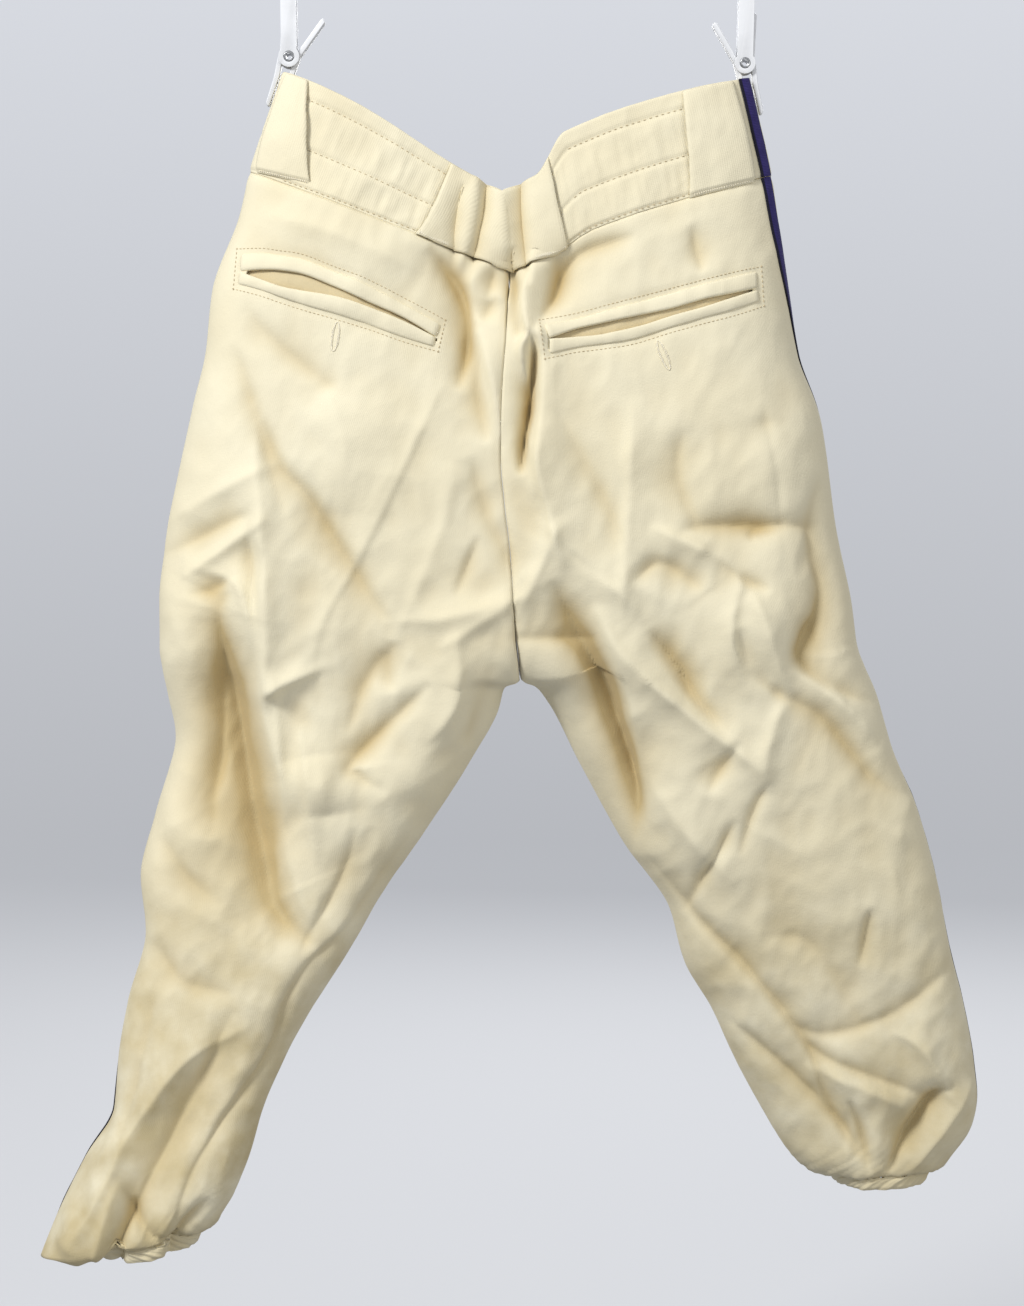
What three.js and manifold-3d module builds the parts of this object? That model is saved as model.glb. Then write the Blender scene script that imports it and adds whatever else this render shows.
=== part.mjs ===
// Baseball trousers of cream double-knit cloth, hung by the waist from a clip hanger.
//
// Millimetres, +Z up. The origin is where the hanger's hook bears on its rail. The seat faces -Y, so the
// wearer's left is at -X and the front is at +Y. "left" and "right" below are the wearer's.
//
// The cloth is one closed form, described by a table of sections for each side. A section runs from the
// outer edge of the body to its inner edge: the centre seam in the seat, the inside leg further down.
// Every sewn piece is a wall made from the points of that form.
import * as THREE from "three";
import { mergeVertices } from "three/addons/utils/BufferGeometryUtils.js";
import Module from "manifold-3d";

const wasm = await Module();
wasm.setup();

// ---------------------------------------------------------------- driving dimensions
const CLOTH = 1.6; // double-knit cloth, seam allowances included
const BAND = 3.0; // waistband: two layers of cloth round an elastic
const BAND_PROUD = 0.7; // how far the band stands proud of the cloth below it
const SEAM_GAP = 0.4; // clear space between two pieces that are sewn together
const LAY_GAP = 0.5; // clear space under a piece that lies on another
const STRIP = 1.2; // thickness of braid, welts and belt loops

const BRAID_WIDTH = 10;
const LOOP_STAND_OFF = 2.4; // how far a belt loop bows away from the band
const LOOP_TAIL = 7; // how far a loop's lower end is sewn below the band
const WELT_PROUD = 0.9; // clear space under a welt, which is folded cloth
const MOUTH_GAP = 4; // open slit between the two welts of a pocket
const FACING_MARGIN = 5; // how far the pocket facing reaches past the slit
const BUTTON_RADIUS = 5.5;
const BUTTON_THICKNESS = 2;
const FLY_WIDTH = 38;
const FLY_LENGTH = 200;
const TAB_WIDTH = 36; // overlap of the waistband's left end on its right end
const TUNNEL_PLEATS = 5; // soft pleats across the wide belt tunnel
const PLEAT_DEPTH = 1.2;

const ROD_RADIUS = 4; // the hanger's bar
const ROD_HALF_LENGTH = 186;
const ROD_DROP = 83; // from the rail down to the bar's centre
const BOSS_RADIUS = 8;
const BOSS_HALF_WIDTH = 11;
const STEM_SOCKET = 10; // how deep the hook's stem goes into the boss
const HOOK_WIRE = 2; // radius of the hook's wire
const HOOK_RADIUS = 22; // radius of the hook's bend, at the wire's centre
const HOOK_NECK = { straightTo: -56, leanFrom: -44, leanTo: -45 }; // Z along the stem, below the bend

const PEG_WIDTH = 9; // along Y
const JAW_LENGTH = 26; // below the top edge of the waistband
const PIVOT_RISE = 11; // spring's axis above the top edge of the waistband
const HANDLE_LENGTH = 33; // above the spring's axis
const HANDLE_SPREAD = 12.5; // how far each finger grip opens from the peg's middle
const ARM_THICKNESS = 3.6;
const COIL_RADIUS = 3.5;
const COIL_BORE = 2.3;
const BAIL_STRIP = 2.2; // thickness of the bail that carries a peg
const BAIL_WIDTH = 11;
const BAIL_EYE = 7.4; // radius round the spring's end
const SPRING_END = 0.4; // how far the spring's tube stands out of the bail's eyes
const RUNNING_GAP = 0.35; // clear space round the spring, the bar and the pegs

// ---------------------------------------------------------------- sections of the body
// innerX, innerZ, outerX, outerZ: the ends of the section, seen from behind
// mid: Y of the section's middle; back, front: how far the cloth stands from it on either side
// wrap: how far round the section the cloth goes before it meets the inner seam, in degrees:
//       90 where both sides share one body, 180 where the leg is a closed tube
// seam: where the side seam lies, in degrees from the outer edge towards the back
// drop: how much lower the front's inner end is; blunt: how square the section is
// bow: rise of the section, highest at the share of the way named crest, and gone by the one named fall
const COLUMNS = ["innerX", "innerZ", "outerX", "outerZ", "mid", "back", "front", "wrap", "seam", "drop",
  "blunt", "bow", "crest", "fall"];
const LEFT_SECTIONS = {
  waistTop: [-10, -239, -164, -154, 0, 26, 30, 90, -13, 24, 0.15, 5, 0.35, 0.8],
  waistSeam: [-4, -294, -188, -224, 0, 34, 37, 90, -13, 20, 0.15, 0, 0.35, 0.8],
  yoke: [-6, -320, -196, -256, 0, 38, 40, 90, -13, 16, 0.15, 0, 0.35, 0.8],
  pocket: [-8, -354, -215, -307, 0, 42, 44, 90, -13, 12, 0.15, 0, 0.35, 0.8],
  underPocket: [-10, -388, -220, -350, 0, 45, 46, 90, -13, 8, 0.15, 0, 0.35, 0.8],
  upperSeat: [-11, -423, -230, -391, 0, 48, 48, 90, -13, 5, 0.15, 0, 0.35, 0.8],
  seat: [-4, -498, -250, -487, 0, 50, 48, 90, -12, 0, 0.15, 0, 0.35, 0.8],
  lowerSeat: [0, -553, -254, -526, -1, 50, 47, 125, -11, 0, 0.15, 0, 0.35, 0.8],
  crotch: [2, -584, -254, -560, -2, 48, 46, 180, -10, 0, 0.15, 0, 0.35, 0.8],
  fork: [-8, -588, -252, -575, -3, 47, 46, 180, -10, 0, 0.15, 0, 0.35, 0.8],
  thighTop: [-13, -605, -248, -596, -4, 46, 45, 180, -10, 0, 0.14, 0, 0.35, 0.8],
  thigh: [-33, -641, -243, -624, -7, 45, 44, 180, -9, 0, 0.13, 0, 0.35, 0.8],
  lowerThigh: [-65, -690, -257, -677, -12, 43, 42, 180, -8, 0, 0.12, 0, 0.35, 0.8],
  knee: [-94, -732, -267, -721, -18, 41, 41, 180, -7, 0, 0.1, 0, 0.35, 0.8],
  belowKnee: [-119, -774, -263, -760, -25, 39, 39, 180, -6, 0, 0.1, 0, 0.35, 0.8],
  upperCalf: [-145, -815, -275, -808, -32, 37, 38, 180, -5, 0, 0.08, 0, 0.35, 0.8],
  calf: [-164, -850, -281, -846, -39, 36, 37, 180, -3, 0, 0.06, 0, 0.35, 0.8],
  lowerCalf: [-179, -884, -283, -881, -45, 36, 36, 180, -2, 0, 0.04, 0, 0.35, 0.8],
  blouseTop: [-188, -915, -304, -917, -50, 38, 36, 180, -6, 0, 0.02, 0, 0.35, 0.8],
  blouse: [-201, -945, -325, -960, -54, 40, 37, 180, -12, 0, 0, 0, 0.35, 0.8],
  blouseFoot: [-212, -962, -335, -985, -56, 36, 35, 180, -12, 0, 0, 0, 0.35, 0.8],
  hemTop: [-222, -968, -296, -979, -56, 32, 32, 180, -12, 0, 0, 0, 0.35, 0.8],
  hemEnd: [-226, -977, -289, -987, -56, 30, 30, 180, -12, 0, 0, 0, 0.35, 0.8],
};
const RIGHT_SECTIONS = {
  waistTop: [-10, -239, 164, -159, 0, 26, 30, 90, 13, 24, 0.15, 21, 0.7, 0.85],
  waistSeam: [-4, -294, 180, -227, 0, 34, 37, 90, 13, 20, 0.15, 7, 0.68, 0.85],
  yoke: [-6, -320, 186, -265, 0, 38, 40, 90, 11, 16, 0.15, 2, 0.68, 0.85],
  pocket: [-8, -354, 192, -310, 0, 42, 44, 90, 5, 12, 0.15, 0, 0.68, 0.85],
  underPocket: [-10, -388, 199, -352, 0, 45, 46, 90, -2, 8, 0.15, 0, 0.68, 0.85],
  upperSeat: [-11, -423, 216, -398, 0, 48, 48, 90, -7, 5, 0.15, 0, 0.68, 0.85],
  seat: [-4, -498, 228, -476, 0, 50, 48, 90, -10, 0, 0.15, 0, 0.68, 0.85],
  lowerSeat: [0, -553, 239, -526, 1, 50, 47, 125, -10, 0, 0.15, 0, 0.68, 0.85],
  crotch: [4, -584, 244, -560, 2, 48, 46, 180, -10, 0, 0.15, 0, 0.68, 0.85],
  fork: [14, -588, 249, -573, 3, 47, 46, 180, -10, 0, 0.15, 0, 0.68, 0.85],
  thighTop: [24, -601, 257, -591, 4, 46, 45, 180, -10, 0, 0.14, 0, 0.68, 0.85],
  thigh: [45, -643, 270, -633, 6, 45, 44, 180, -10, 0, 0.13, 0, 0.68, 0.85],
  lowerThigh: [75, -698, 288, -675, 9, 43, 42, 180, -10, 0, 0.12, 0, 0.68, 0.85],
  knee: [110, -748, 304, -729, 13, 41, 41, 180, -10, 0, 0.1, 0, 0.68, 0.85],
  belowKnee: [122, -789, 314, -778, 17, 39, 39, 180, -10, 0, 0.1, 0, 0.68, 0.85],
  upperCalf: [143, -826, 325, -819, 21, 38, 38, 180, -10, 0, 0.08, 0, 0.68, 0.85],
  calf: [162, -867, 333, -858, 25, 38, 38, 180, -10, 0, 0.06, 0, 0.68, 0.85],
  lowerCalf: [181, -902, 337, -894, 29, 38, 37, 180, -10, 0, 0.04, 0, 0.68, 0.85],
  blouseTop: [197, -928, 332, -917, 32, 38, 36, 180, -10, 0, 0.02, 0, 0.68, 0.85],
  blouse: [208, -941, 321, -934, 34, 36, 35, 180, -10, 0, 0, 0, 0.68, 0.85],
  blouseFoot: [219, -947, 313, -943, 35, 34, 33, 180, -10, 0, 0, 0, 0.68, 0.85],
  hemTop: [230, -948, 304, -946, 35, 32, 32, 180, -10, 0, 0, 0, 0.68, 0.85],
  hemEnd: [235, -956, 300, -955, 35, 30, 30, 180, -10, 0, 0, 0, 0.68, 0.85],
};

// The largest folds: from one point to another, seen from behind. A height below 0 is a trough.
const FOLD_FADE = 1.6; // how steeply the folds rise from the garment's outer edges
const FOLD_COLUMNS = ["fromX", "fromZ", "toX", "toZ", "width", "height"];
const BACK_FOLDS = {
  centreRidge: [-44, -300, -26, -430, 18, 5],
  upperTuck: [26, -286, 8, -342, 10, -6],
  lowerTuck: [8, -344, 6, -420, 11, -7],
  tuckRidge: [38, -390, 24, -460, 16, 4],
  leftThighTrough: [-222, -520, -196, -668, 22, -13],
  leftThighRidge: [-176, -565, -150, -668, 22, 7],
  rightThighTrough: [62, -560, 84, -668, 18, -12],
  rightThighRidge: [46, -540, 104, -600, 16, 5],
  rightHemRidge: [186, -838, 292, -890, 17, 5],
};
const FRONT_FOLDS = {
  flyRidge: [-88, -340, -70, -480, 20, 5],
  leftFrontTrough: [-196, -500, -168, -650, 24, -10],
  rightFrontTrough: [92, -570, 128, -690, 22, -10],
};

// Pocket mouths on the back, as the four corners of the sewn box: x and z of each
const POCKET_CORNERS = {
  left: { topSide: [-199, -287], topCentre: [-54, -338], lowCentre: [-58, -356], lowSide: [-202, -309] },
  right: { topSide: [176, -298], topCentre: [19, -337], lowCentre: [23, -361], lowSide: [179, -321] },
};

// Belt loops: where each starts and ends along its section, as a share of the way from the outer edge
const LOOPS = {
  back_left: { side: "left", face: 1, from: 0.03, to: 0.13, lowerTo: 0.24 },
  back_right: { side: "right", face: 1, from: 0.08, to: 0.28, lowerTo: 0.32 },
  front_left: { side: "left", face: -1, from: 0.5, to: 0.66, lowerTo: 0.66 },
  front_right: { side: "right", face: -1, from: 0.5, to: 0.66, lowerTo: 0.66 },
};
const TUNNEL_LEFT = 0.73; // the wide centre loop's ends, as a share of each side's section
const TUNNEL_RIGHT = 0.74;

// Trims, as shares of a piece's length or of the step between two sections
const STRIP_TOP = 0.02; // how far below the band's top edge a loop, the tunnel and the tab start
const STRIP_FOOT = 0.03; // how far below the band the tunnel ends
const STRIP_INNER = 0.995; // where the fly and the tab stop before the centre seam
const MOUTH_END = 0.03; // how much of a pocket's sewn box its slit leaves at each end
const FACING_END = 0.01;
const FLY_CURVE = { from: 0.7, narrowest: 0.12 }; // the J at the fly's foot: start, and least width squared
const HEM_START = 0.2; // how far below the leg's foot the elastic casing starts

// ---------------------------------------------------------------- finishes
const finish = (color, roughness, metalness = 0) =>
  new THREE.MeshStandardMaterial({ color, roughness, metalness });
const CREAM = finish(0xe9dfbf, 0.92);
const NAVY = finish(0x1d1a4c, 0.85);
const BUTTON = finish(0xe9e6dc, 0.4);
const WHITE_PLASTIC = finish(0xeeeeec, 0.35);
const STEEL = finish(0xb4b6b8, 0.3, 1);

// ---------------------------------------------------------------- the body's form
const degrees = THREE.MathUtils.degToRad;

/** A smooth curve through values at 0, 1, 2..., which never swings past them. */
function throughValues(values) {
  const last = values.length - 1;
  const steps = values.slice(1).map((v, i) => v - values[i]);
  const slopes = values.map((_, i) => {
    if (i === 0) return steps[0];
    if (i === last) return steps[last - 1];
    const [a, b] = [steps[i - 1], steps[i]];
    return a * b > 0 ? (2 * a * b) / (a + b) : 0;
  });
  return (v) => {
    const i = Math.min(last - 1, Math.max(0, Math.floor(v)));
    const t = v - i;
    const [t2, t3] = [t * t, t * t * t];
    return (2 * t3 - 3 * t2 + 1) * values[i] + (t3 - 2 * t2 + t) * slopes[i]
      + (3 * t2 - 2 * t3) * values[i + 1] + (t3 - t2) * slopes[i + 1];
  };
}

/** One side of the garment: a curve for each column of its sections, and each section's place. */
function makeSide(sections) {
  const rows = Object.values(sections);
  const side = { at: {} };
  COLUMNS.forEach((column, c) => (side[column] = throughValues(rows.map((row) => row[c]))));
  Object.keys(sections).forEach((name, i) => (side.at[name] = i));
  return side;
}

const SIDES = { left: makeSide(LEFT_SECTIONS), right: makeSide(RIGHT_SECTIONS) };
const { at } = SIDES.left;

/** How far the cloth stands out at an angle from the outer edge, as a share of the section's depth. */
const fullness = (angle, blunt) => (Math.sin(angle) + blunt * Math.sin(3 * angle)) / (1 - blunt);

/** Share of the way from a section's outer end to its inner end, at an angle from the outer edge. */
const share = (angle, wrap) => (1 - Math.cos(angle)) / (1 - Math.cos(wrap));

/** The angle at which a share of the way is reached. */
const angleOfShare = (side, v, t) => Math.acos(1 - t * (1 - Math.cos(degrees(side.wrap(v)))));

/** The smooth form, before folds. Angles above 0 are on the back, those below 0 on the front. */
function form(side, v, angle) {
  const front = angle < 0;
  const turn = Math.abs(angle);
  const t = share(turn, degrees(side.wrap(v)));
  const stand = fullness(turn, side.blunt(v));
  const climb = Math.sin((Math.PI / 2) * Math.min(1, t / side.crest(v)));
  const fallen = THREE.MathUtils.smoothstep(t, side.crest(v), side.fall(v));
  const rise = side.bow(v) * climb * (1 - fallen) - (front ? side.drop(v) * t : 0);
  return new THREE.Vector3(
    side.outerX(v) + (side.innerX(v) - side.outerX(v)) * t,
    side.mid(v) + (front ? side.front(v) : -side.back(v)) * stand,
    side.outerZ(v) + (side.innerZ(v) - side.outerZ(v)) * t + rise,
  );
}

/** Unit normal of a surface function of v and angle, pointing out of the garment. */
function outward(surface, side, v, angle) {
  const [dv, da] = [0.004, 0.004];
  const along = surface(side, v + dv, angle).sub(surface(side, v - dv, angle));
  const round = surface(side, v, angle + da).sub(surface(side, v, angle - da));
  const normal = along.cross(round).normalize();
  return side === SIDES.left ? normal : normal.negate();
}

/** Height of the folds at a point of the form. They fade to nothing at the garment's outer edges. */
function foldHeight(point, angle) {
  const folds = angle > 0 ? BACK_FOLDS : FRONT_FOLDS;
  const fade = Math.min(1, Math.abs(Math.sin(angle)) * FOLD_FADE);
  let height = 0;
  for (const row of Object.values(folds)) {
    const fold = Object.fromEntries(FOLD_COLUMNS.map((column, i) => [column, row[i]]));
    const run = new THREE.Vector2(fold.toX - fold.fromX, fold.toZ - fold.fromZ);
    const offset = new THREE.Vector2(point.x - fold.fromX, point.z - fold.fromZ);
    const along = offset.dot(run) / run.lengthSq();
    const beside = Math.abs(offset.cross(run)) / run.length();
    const ends = Math.max(0, Math.abs(along - 0.5) - 0.5) * run.length();
    height += fold.height * Math.exp(-(beside ** 2 + ends ** 2) / (fold.width ** 2));
  }
  return height * fade;
}

/** The folded form. */
function cloth(side, v, angle) {
  const point = form(side, v, angle);
  const height = foldHeight(point, angle);
  return height === 0 ? point : point.addScaledVector(outward(form, side, v, angle), height);
}

/** A point of the folded form with its normal. */
const place = (side, v, angle) => ({ point: cloth(side, v, angle), normal: outward(cloth, side, v, angle) });

/** Angle that a length along the section spans at a place. */
function angleOfLength(side, v, angle, length) {
  const step = 0.01;
  const inward = angle + (angle > 0 ? -step : step);
  return (length * step) / form(side, v, angle).distanceTo(form(side, v, inward));
}

/** Change of v that a length down the garment spans at a place. */
function sectionsOfLength(side, v, angle, length) {
  const step = 0.02;
  return (length * step) / form(side, v, angle).distanceTo(form(side, v + step, angle));
}

/** The v and angle on the back or front (face 1 or -1) whose x and z are given. */
function find(side, x, z, face) {
  let v = at.pocket;
  let t = 0.5;
  const error = (v, t) => {
    const point = form(side, v, face * angleOfShare(side, v, t));
    return [point.x - x, point.z - z];
  };
  for (let round = 0; round < 12; round++) {
    const [ex, ez] = error(v, t);
    const step = 1e-3;
    const [vx, vz] = error(v + step, t).map((e, i) => (e - [ex, ez][i]) / step);
    const [tx, tz] = error(v, t + step).map((e, i) => (e - [ex, ez][i]) / step);
    const determinant = vx * tz - tx * vz;
    v -= (ex * tz - tx * ez) / determinant;
    t -= (vx * ez - ex * vz) / determinant;
  }
  return { v, angle: face * angleOfShare(side, v, t) };
}

// ---------------------------------------------------------------- walls and solids
/** A mesh's geometry, turned inside out if its faces point inwards. */
function facingOut(positions, faces) {
  const corner = (i) => new THREE.Vector3().fromArray(positions, 3 * i);
  const volume = faces.reduce((sum, [a, b, c]) => sum + corner(a).dot(corner(b).cross(corner(c))), 0);
  const index = faces.flatMap(([a, b, c]) => (volume > 0 ? [a, b, c] : [a, c, b]));
  const geometry = new THREE.BufferGeometry();
  geometry.setAttribute("position", new THREE.Float32BufferAttribute(positions, 3));
  geometry.setIndex(index);
  return geometry;
}

/**
 * A closed wall over a grid. at(i, j) gives the point and normal for i and j from 0 to 1, lift is how far
 * the outer skin stands from the point, and may be a function of i and j.
 */
function wall(columns, rows, gridPoint, thickness, lift = 0) {
  const positions = [];
  const faces = [];
  const count = (columns + 1) * (rows + 1);
  for (const depth of [0, thickness]) {
    for (let j = 0; j <= rows; j++) {
      for (let i = 0; i <= columns; i++) {
        const { point, normal } = gridPoint(i / columns, j / rows);
        const raised = typeof lift === "function" ? lift(i / columns, j / rows) : lift;
        positions.push(...point.clone().addScaledVector(normal, raised - depth).toArray());
      }
    }
  }
  const outer = (i, j) => j * (columns + 1) + i;
  const inner = (i, j) => count + outer(i, j);
  const quad = (a, b, c, d) => faces.push([a, b, c], [a, c, d]);
  for (let j = 0; j < rows; j++) {
    for (let i = 0; i < columns; i++) {
      quad(outer(i, j), outer(i + 1, j), outer(i + 1, j + 1), outer(i, j + 1));
      quad(inner(i, j), inner(i, j + 1), inner(i + 1, j + 1), inner(i + 1, j));
    }
  }
  for (let i = 0; i < columns; i++) {
    quad(outer(i, 0), inner(i, 0), inner(i + 1, 0), outer(i + 1, 0));
    quad(outer(i + 1, rows), inner(i + 1, rows), inner(i, rows), outer(i, rows));
  }
  for (let j = 0; j < rows; j++) {
    quad(outer(0, j + 1), inner(0, j + 1), inner(0, j), outer(0, j));
    quad(outer(columns, j), inner(columns, j), inner(columns, j + 1), outer(columns, j + 1));
  }
  return facingOut(positions, faces);
}

/** A closed geometry as a solid that can be cut and joined. */
function toSolid(geometry) {
  const bare = geometry.index ? geometry.toNonIndexed() : geometry.clone();
  bare.deleteAttribute("normal");
  bare.deleteAttribute("uv");
  const merged = mergeVertices(bare, 1e-4);
  const mesh = new wasm.Mesh({
    numProp: 3,
    vertProperties: merged.attributes.position.array,
    triVerts: new Uint32Array(merged.index.array),
  });
  return new wasm.Manifold(mesh);
}

/** A solid back as a geometry. */
function toGeometry(solid) {
  const { vertProperties, triVerts } = solid.getMesh();
  const geometry = new THREE.BufferGeometry();
  geometry.setAttribute("position", new THREE.BufferAttribute(vertProperties, 3));
  geometry.setIndex(new THREE.BufferAttribute(triVerts, 1));
  return geometry;
}

/** A flat outline in X and Z, given as [x, z] pairs, made solid from one Y to another. */
function plate(outline, fromY, toY, holes = []) {
  const shape = new THREE.Shape(outline.map(([x, z]) => new THREE.Vector2(x, -z)));
  shape.holes = holes.map((hole) => new THREE.Path(hole.map(([x, z]) => new THREE.Vector2(x, -z))));
  const geometry = new THREE.ExtrudeGeometry(shape, { depth: toY - fromY, bevelEnabled: false });
  return geometry.rotateX(-Math.PI / 2).translate(0, fromY, 0);
}

/** Corners of a circle, or of part of one, as [x, z] pairs. */
function arc(x, z, radius, from = 0, to = 360, corners = 24) {
  const whole = to - from === 360;
  const count = whole ? corners : corners + 1;
  return Array.from({ length: count }, (_, i) => {
    const angle = degrees(from + ((to - from) * i) / corners);
    return [x + radius * Math.cos(angle), z + radius * Math.sin(angle)];
  });
}

/** A cylinder along one axis. */
function cylinder(axis, radius, from, to, centre, sides = 24) {
  const geometry = new THREE.CylinderGeometry(radius, radius, to - from, sides);
  geometry.translate(0, (from + to) / 2, 0);
  if (axis === "x") geometry.rotateZ(-Math.PI / 2);
  if (axis === "z") geometry.rotateX(Math.PI / 2);
  return geometry.translate(...centre);
}

const garment = new THREE.Group();
const add = (name, geometry, material) => {
  const mesh = new THREE.Mesh(geometry, material);
  mesh.name = name;
  garment.add(mesh);
  return mesh;
};

// ---------------------------------------------------------------- legs, front and back
const PANEL_COLUMNS = 12;
const BRAID_SHORT = 2; // how many of the panel's rows the braid leaves bare at the foot
const BAND_COLUMNS = 12;
const BAND_ROWS = 3;

const CROWDING = 0.1; // how much closer the lines of a panel's grid are at its edges

/** Share of the way across at a grid line. Lines are closer at the edges, where the cloth turns sharply. */
const crowded = (i) => i - CROWDING * Math.sin(2 * Math.PI * i);

/** Where a rising function on 0 to 1 takes a value, found by halving. */
function invert(rising, value) {
  let [low, high] = [0, 1];
  for (let round = 0; round < 24; round++) {
    const middle = (low + high) / 2;
    if (rising(middle) < value) low = middle;
    else high = middle;
  }
  return (low + high) / 2;
}

/**
 * A sewn piece of the form between two sections, on the back or front (face 1 or -1), from the side seam to
 * the inner seam. Its grid of points gives its own wall, and the places of what lies on it.
 */
class Piece {
  constructor(side, face, from, to, columns, rows) {
    Object.assign(this, { side, face, from, to, columns, rows });
    this.grid = Array.from({ length: rows + 1 }, (_, j) => {
      const v = THREE.MathUtils.lerp(from, to, j / rows);
      return Array.from({ length: columns + 1 }, (_, i) => place(side, v, this.angle(v, i / columns)));
    });
  }

  /** Angles of the piece's two edges in a section, trimmed for the seams. */
  edges(v) {
    const { side, face } = this;
    const inner = face * degrees(side.wrap(v));
    const trimSeam = face * angleOfLength(side, v, face * 0.3, SEAM_GAP / 2);
    const trimInner = face * angleOfLength(side, v, inner, SEAM_GAP / 2);
    return [degrees(side.seam(v)) + trimSeam, inner - trimInner];
  }

  angle(v, i) {
    return THREE.MathUtils.lerp(...this.edges(v), crowded(i));
  }

  /** The piece as a wall of a thickness, whose outer skin stands a lift out of the form. */
  wall(thickness, lift = 0) {
    const at = (i, j) => this.grid[Math.round(j * this.rows)][Math.round(i * this.columns)];
    return wall(this.columns, this.rows, at, thickness, lift);
  }

  /** The place on the piece's flat facets at a section and an angle. */
  facet(v, angle) {
    const [first, last] = this.edges(v);
    const across = invert(crowded, (angle - first) / (last - first)) * this.columns;
    const down = THREE.MathUtils.clamp((v - this.from) / (this.to - this.from), 0, 1) * this.rows;
    const i = Math.min(Math.floor(across), this.columns - 1);
    const j = Math.min(Math.floor(down), this.rows - 1);
    const [a, b] = [across - i, down - j];
    const third = a > b ? this.grid[j][i + 1] : this.grid[j + 1][i];
    const corners = [this.grid[j][i], third, this.grid[j + 1][i + 1]];
    const weights = a > b ? [1 - a, a - b, b] : [1 - b, b - a, a];
    const blend = (key) => corners.reduce(
      (sum, corner, k) => sum.addScaledVector(corner[key], weights[k]), new THREE.Vector3());
    return { point: blend("point"), normal: blend("normal") };
  }
}

const LEG_TOP = at.waistSeam + 0.004;
const LEG_FOOT = at.hemTop - 0.03;
const BAND_FOOT = at.waistSeam - 0.004;
const STRETCH_GAP = 0.02; // between two stretches of one panel, as a share of a step between sections
const FACES = { back: 1, front: -1 };

// Each leg panel is one piece of cloth, held as three stretches that meet edge to edge
const STRETCHES = {
  seat: { from: LEG_TOP, to: at.thighTop, rows: 12 },
  thigh: { from: at.thighTop + STRETCH_GAP, to: at.upperCalf, rows: 7 },
  calf: { from: at.upperCalf + STRETCH_GAP, to: LEG_FOOT, rows: 8 },
};
const LEG_ROWS = Object.values(STRETCHES).flatMap(({ from, to, rows }) =>
  Array.from({ length: rows + 1 }, (_, j) => THREE.MathUtils.lerp(from, to, j / rows)));

const pieces = {};
for (const [name, side] of Object.entries(SIDES)) {
  for (const [faceName, face] of Object.entries(FACES)) {
    for (const [stretch, { from, to, rows }] of Object.entries(STRETCHES)) {
      pieces[`${faceName}_${name}_${stretch}`] = new Piece(side, face, from, to, PANEL_COLUMNS, rows);
    }
    pieces[`waistband_${faceName}_${name}`] = new Piece(side, face, 0, BAND_FOOT, BAND_COLUMNS, BAND_ROWS);
  }
}

/** The place on the outside of the leg or band under a section and an angle of the left or right side. */
function onCloth(name, v, angle) {
  const seam = degrees(SIDES[name].seam(v));
  const panel = `${angle >= seam ? "back" : "front"}_${name}`;
  if (v < at.waistSeam) return pieces[`waistband_${panel}`].facet(v, angle);
  const stretch = Object.keys(STRETCHES).findLast((key) => v >= STRETCHES[key].from) ?? "seat";
  return pieces[`${panel}_${stretch}`].facet(v, angle);
}

/** A point of a pocket: a is 0 at the side and 1 at the centre, b is 0 at the top and 1 at the bottom. */
function pocketPoint(name, a, b) {
  const { topSide, topCentre, lowCentre, lowSide } = POCKET_CORNERS[name];
  const mix = (k) => THREE.MathUtils.lerp(
    THREE.MathUtils.lerp(topSide[k], topCentre[k], a), THREE.MathUtils.lerp(lowSide[k], lowCentre[k], a), b);
  const found = find(SIDES[name], mix(0), mix(1), 1);
  return onCloth(name, found.v, found.angle);
}

/** Height of a pocket's sewn box at a share of the way along it. */
const pocketDepth = (name, a) => pocketPoint(name, a, 0).point.distanceTo(pocketPoint(name, a, 1).point);

/** The share of a pocket's height that a length spans. */
const ofPocket = (name, length) => length / pocketDepth(name, 0.5);

const MOUTH_CUT = { fromY: -120, toY: -5 }; // the cutter's reach: through the back, and short of the front

/** A cutter as wide as the slit between a pocket's welts. */
function mouthCutter(name) {
  const half = ofPocket(name, MOUTH_GAP) / 2;
  const [start, end] = [MOUTH_END, 1 - MOUTH_END];
  const corners = [[start, 0.5 - half], [end, 0.5 - half], [end, 0.5 + half], [start, 0.5 + half]];
  const outline = corners.map(([a, b]) => {
    const { point } = pocketPoint(name, a, b);
    return [point.x, point.z];
  });
  return toSolid(facingPlate(outline, MOUTH_CUT.fromY, MOUTH_CUT.toY));
}

/** A plate whose outline may be given either way round. */
function facingPlate(outline, fromY, toY) {
  const turned = THREE.ShapeUtils.isClockWise(outline.map(([x, z]) => new THREE.Vector2(x, -z)));
  return plate(turned ? [...outline].reverse() : outline, fromY, toY);
}

for (const name of Object.keys(SIDES)) {
  for (const faceName of Object.keys(FACES)) {
    for (const stretch of Object.keys(STRETCHES)) {
      const label = `${faceName}_${name}_${stretch}`;
      const panel = pieces[label].wall(CLOTH);
      const hasPocket = faceName === "back" && stretch === "seat";
      add(label, hasPocket ? toGeometry(toSolid(panel).subtract(mouthCutter(name))) : panel, CREAM);
    }
  }
}

// ---------------------------------------------------------------- waistband
for (const name of Object.keys(SIDES)) {
  for (const faceName of Object.keys(FACES)) {
    const label = `waistband_${faceName}_${name}`;
    add(label, pieces[label].wall(BAND, BAND_PROUD), CREAM);
  }
}

const BAND_TOP_LIFT = BAND_PROUD + LAY_GAP + STRIP; // outer skin of a strip that lies on the band

/** v of the lower end of a loop that is sewn a little below the band. */
const loopFoot = (side, angle) => at.waistSeam + sectionsOfLength(side, at.waistSeam, angle, LOOP_TAIL);

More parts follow.
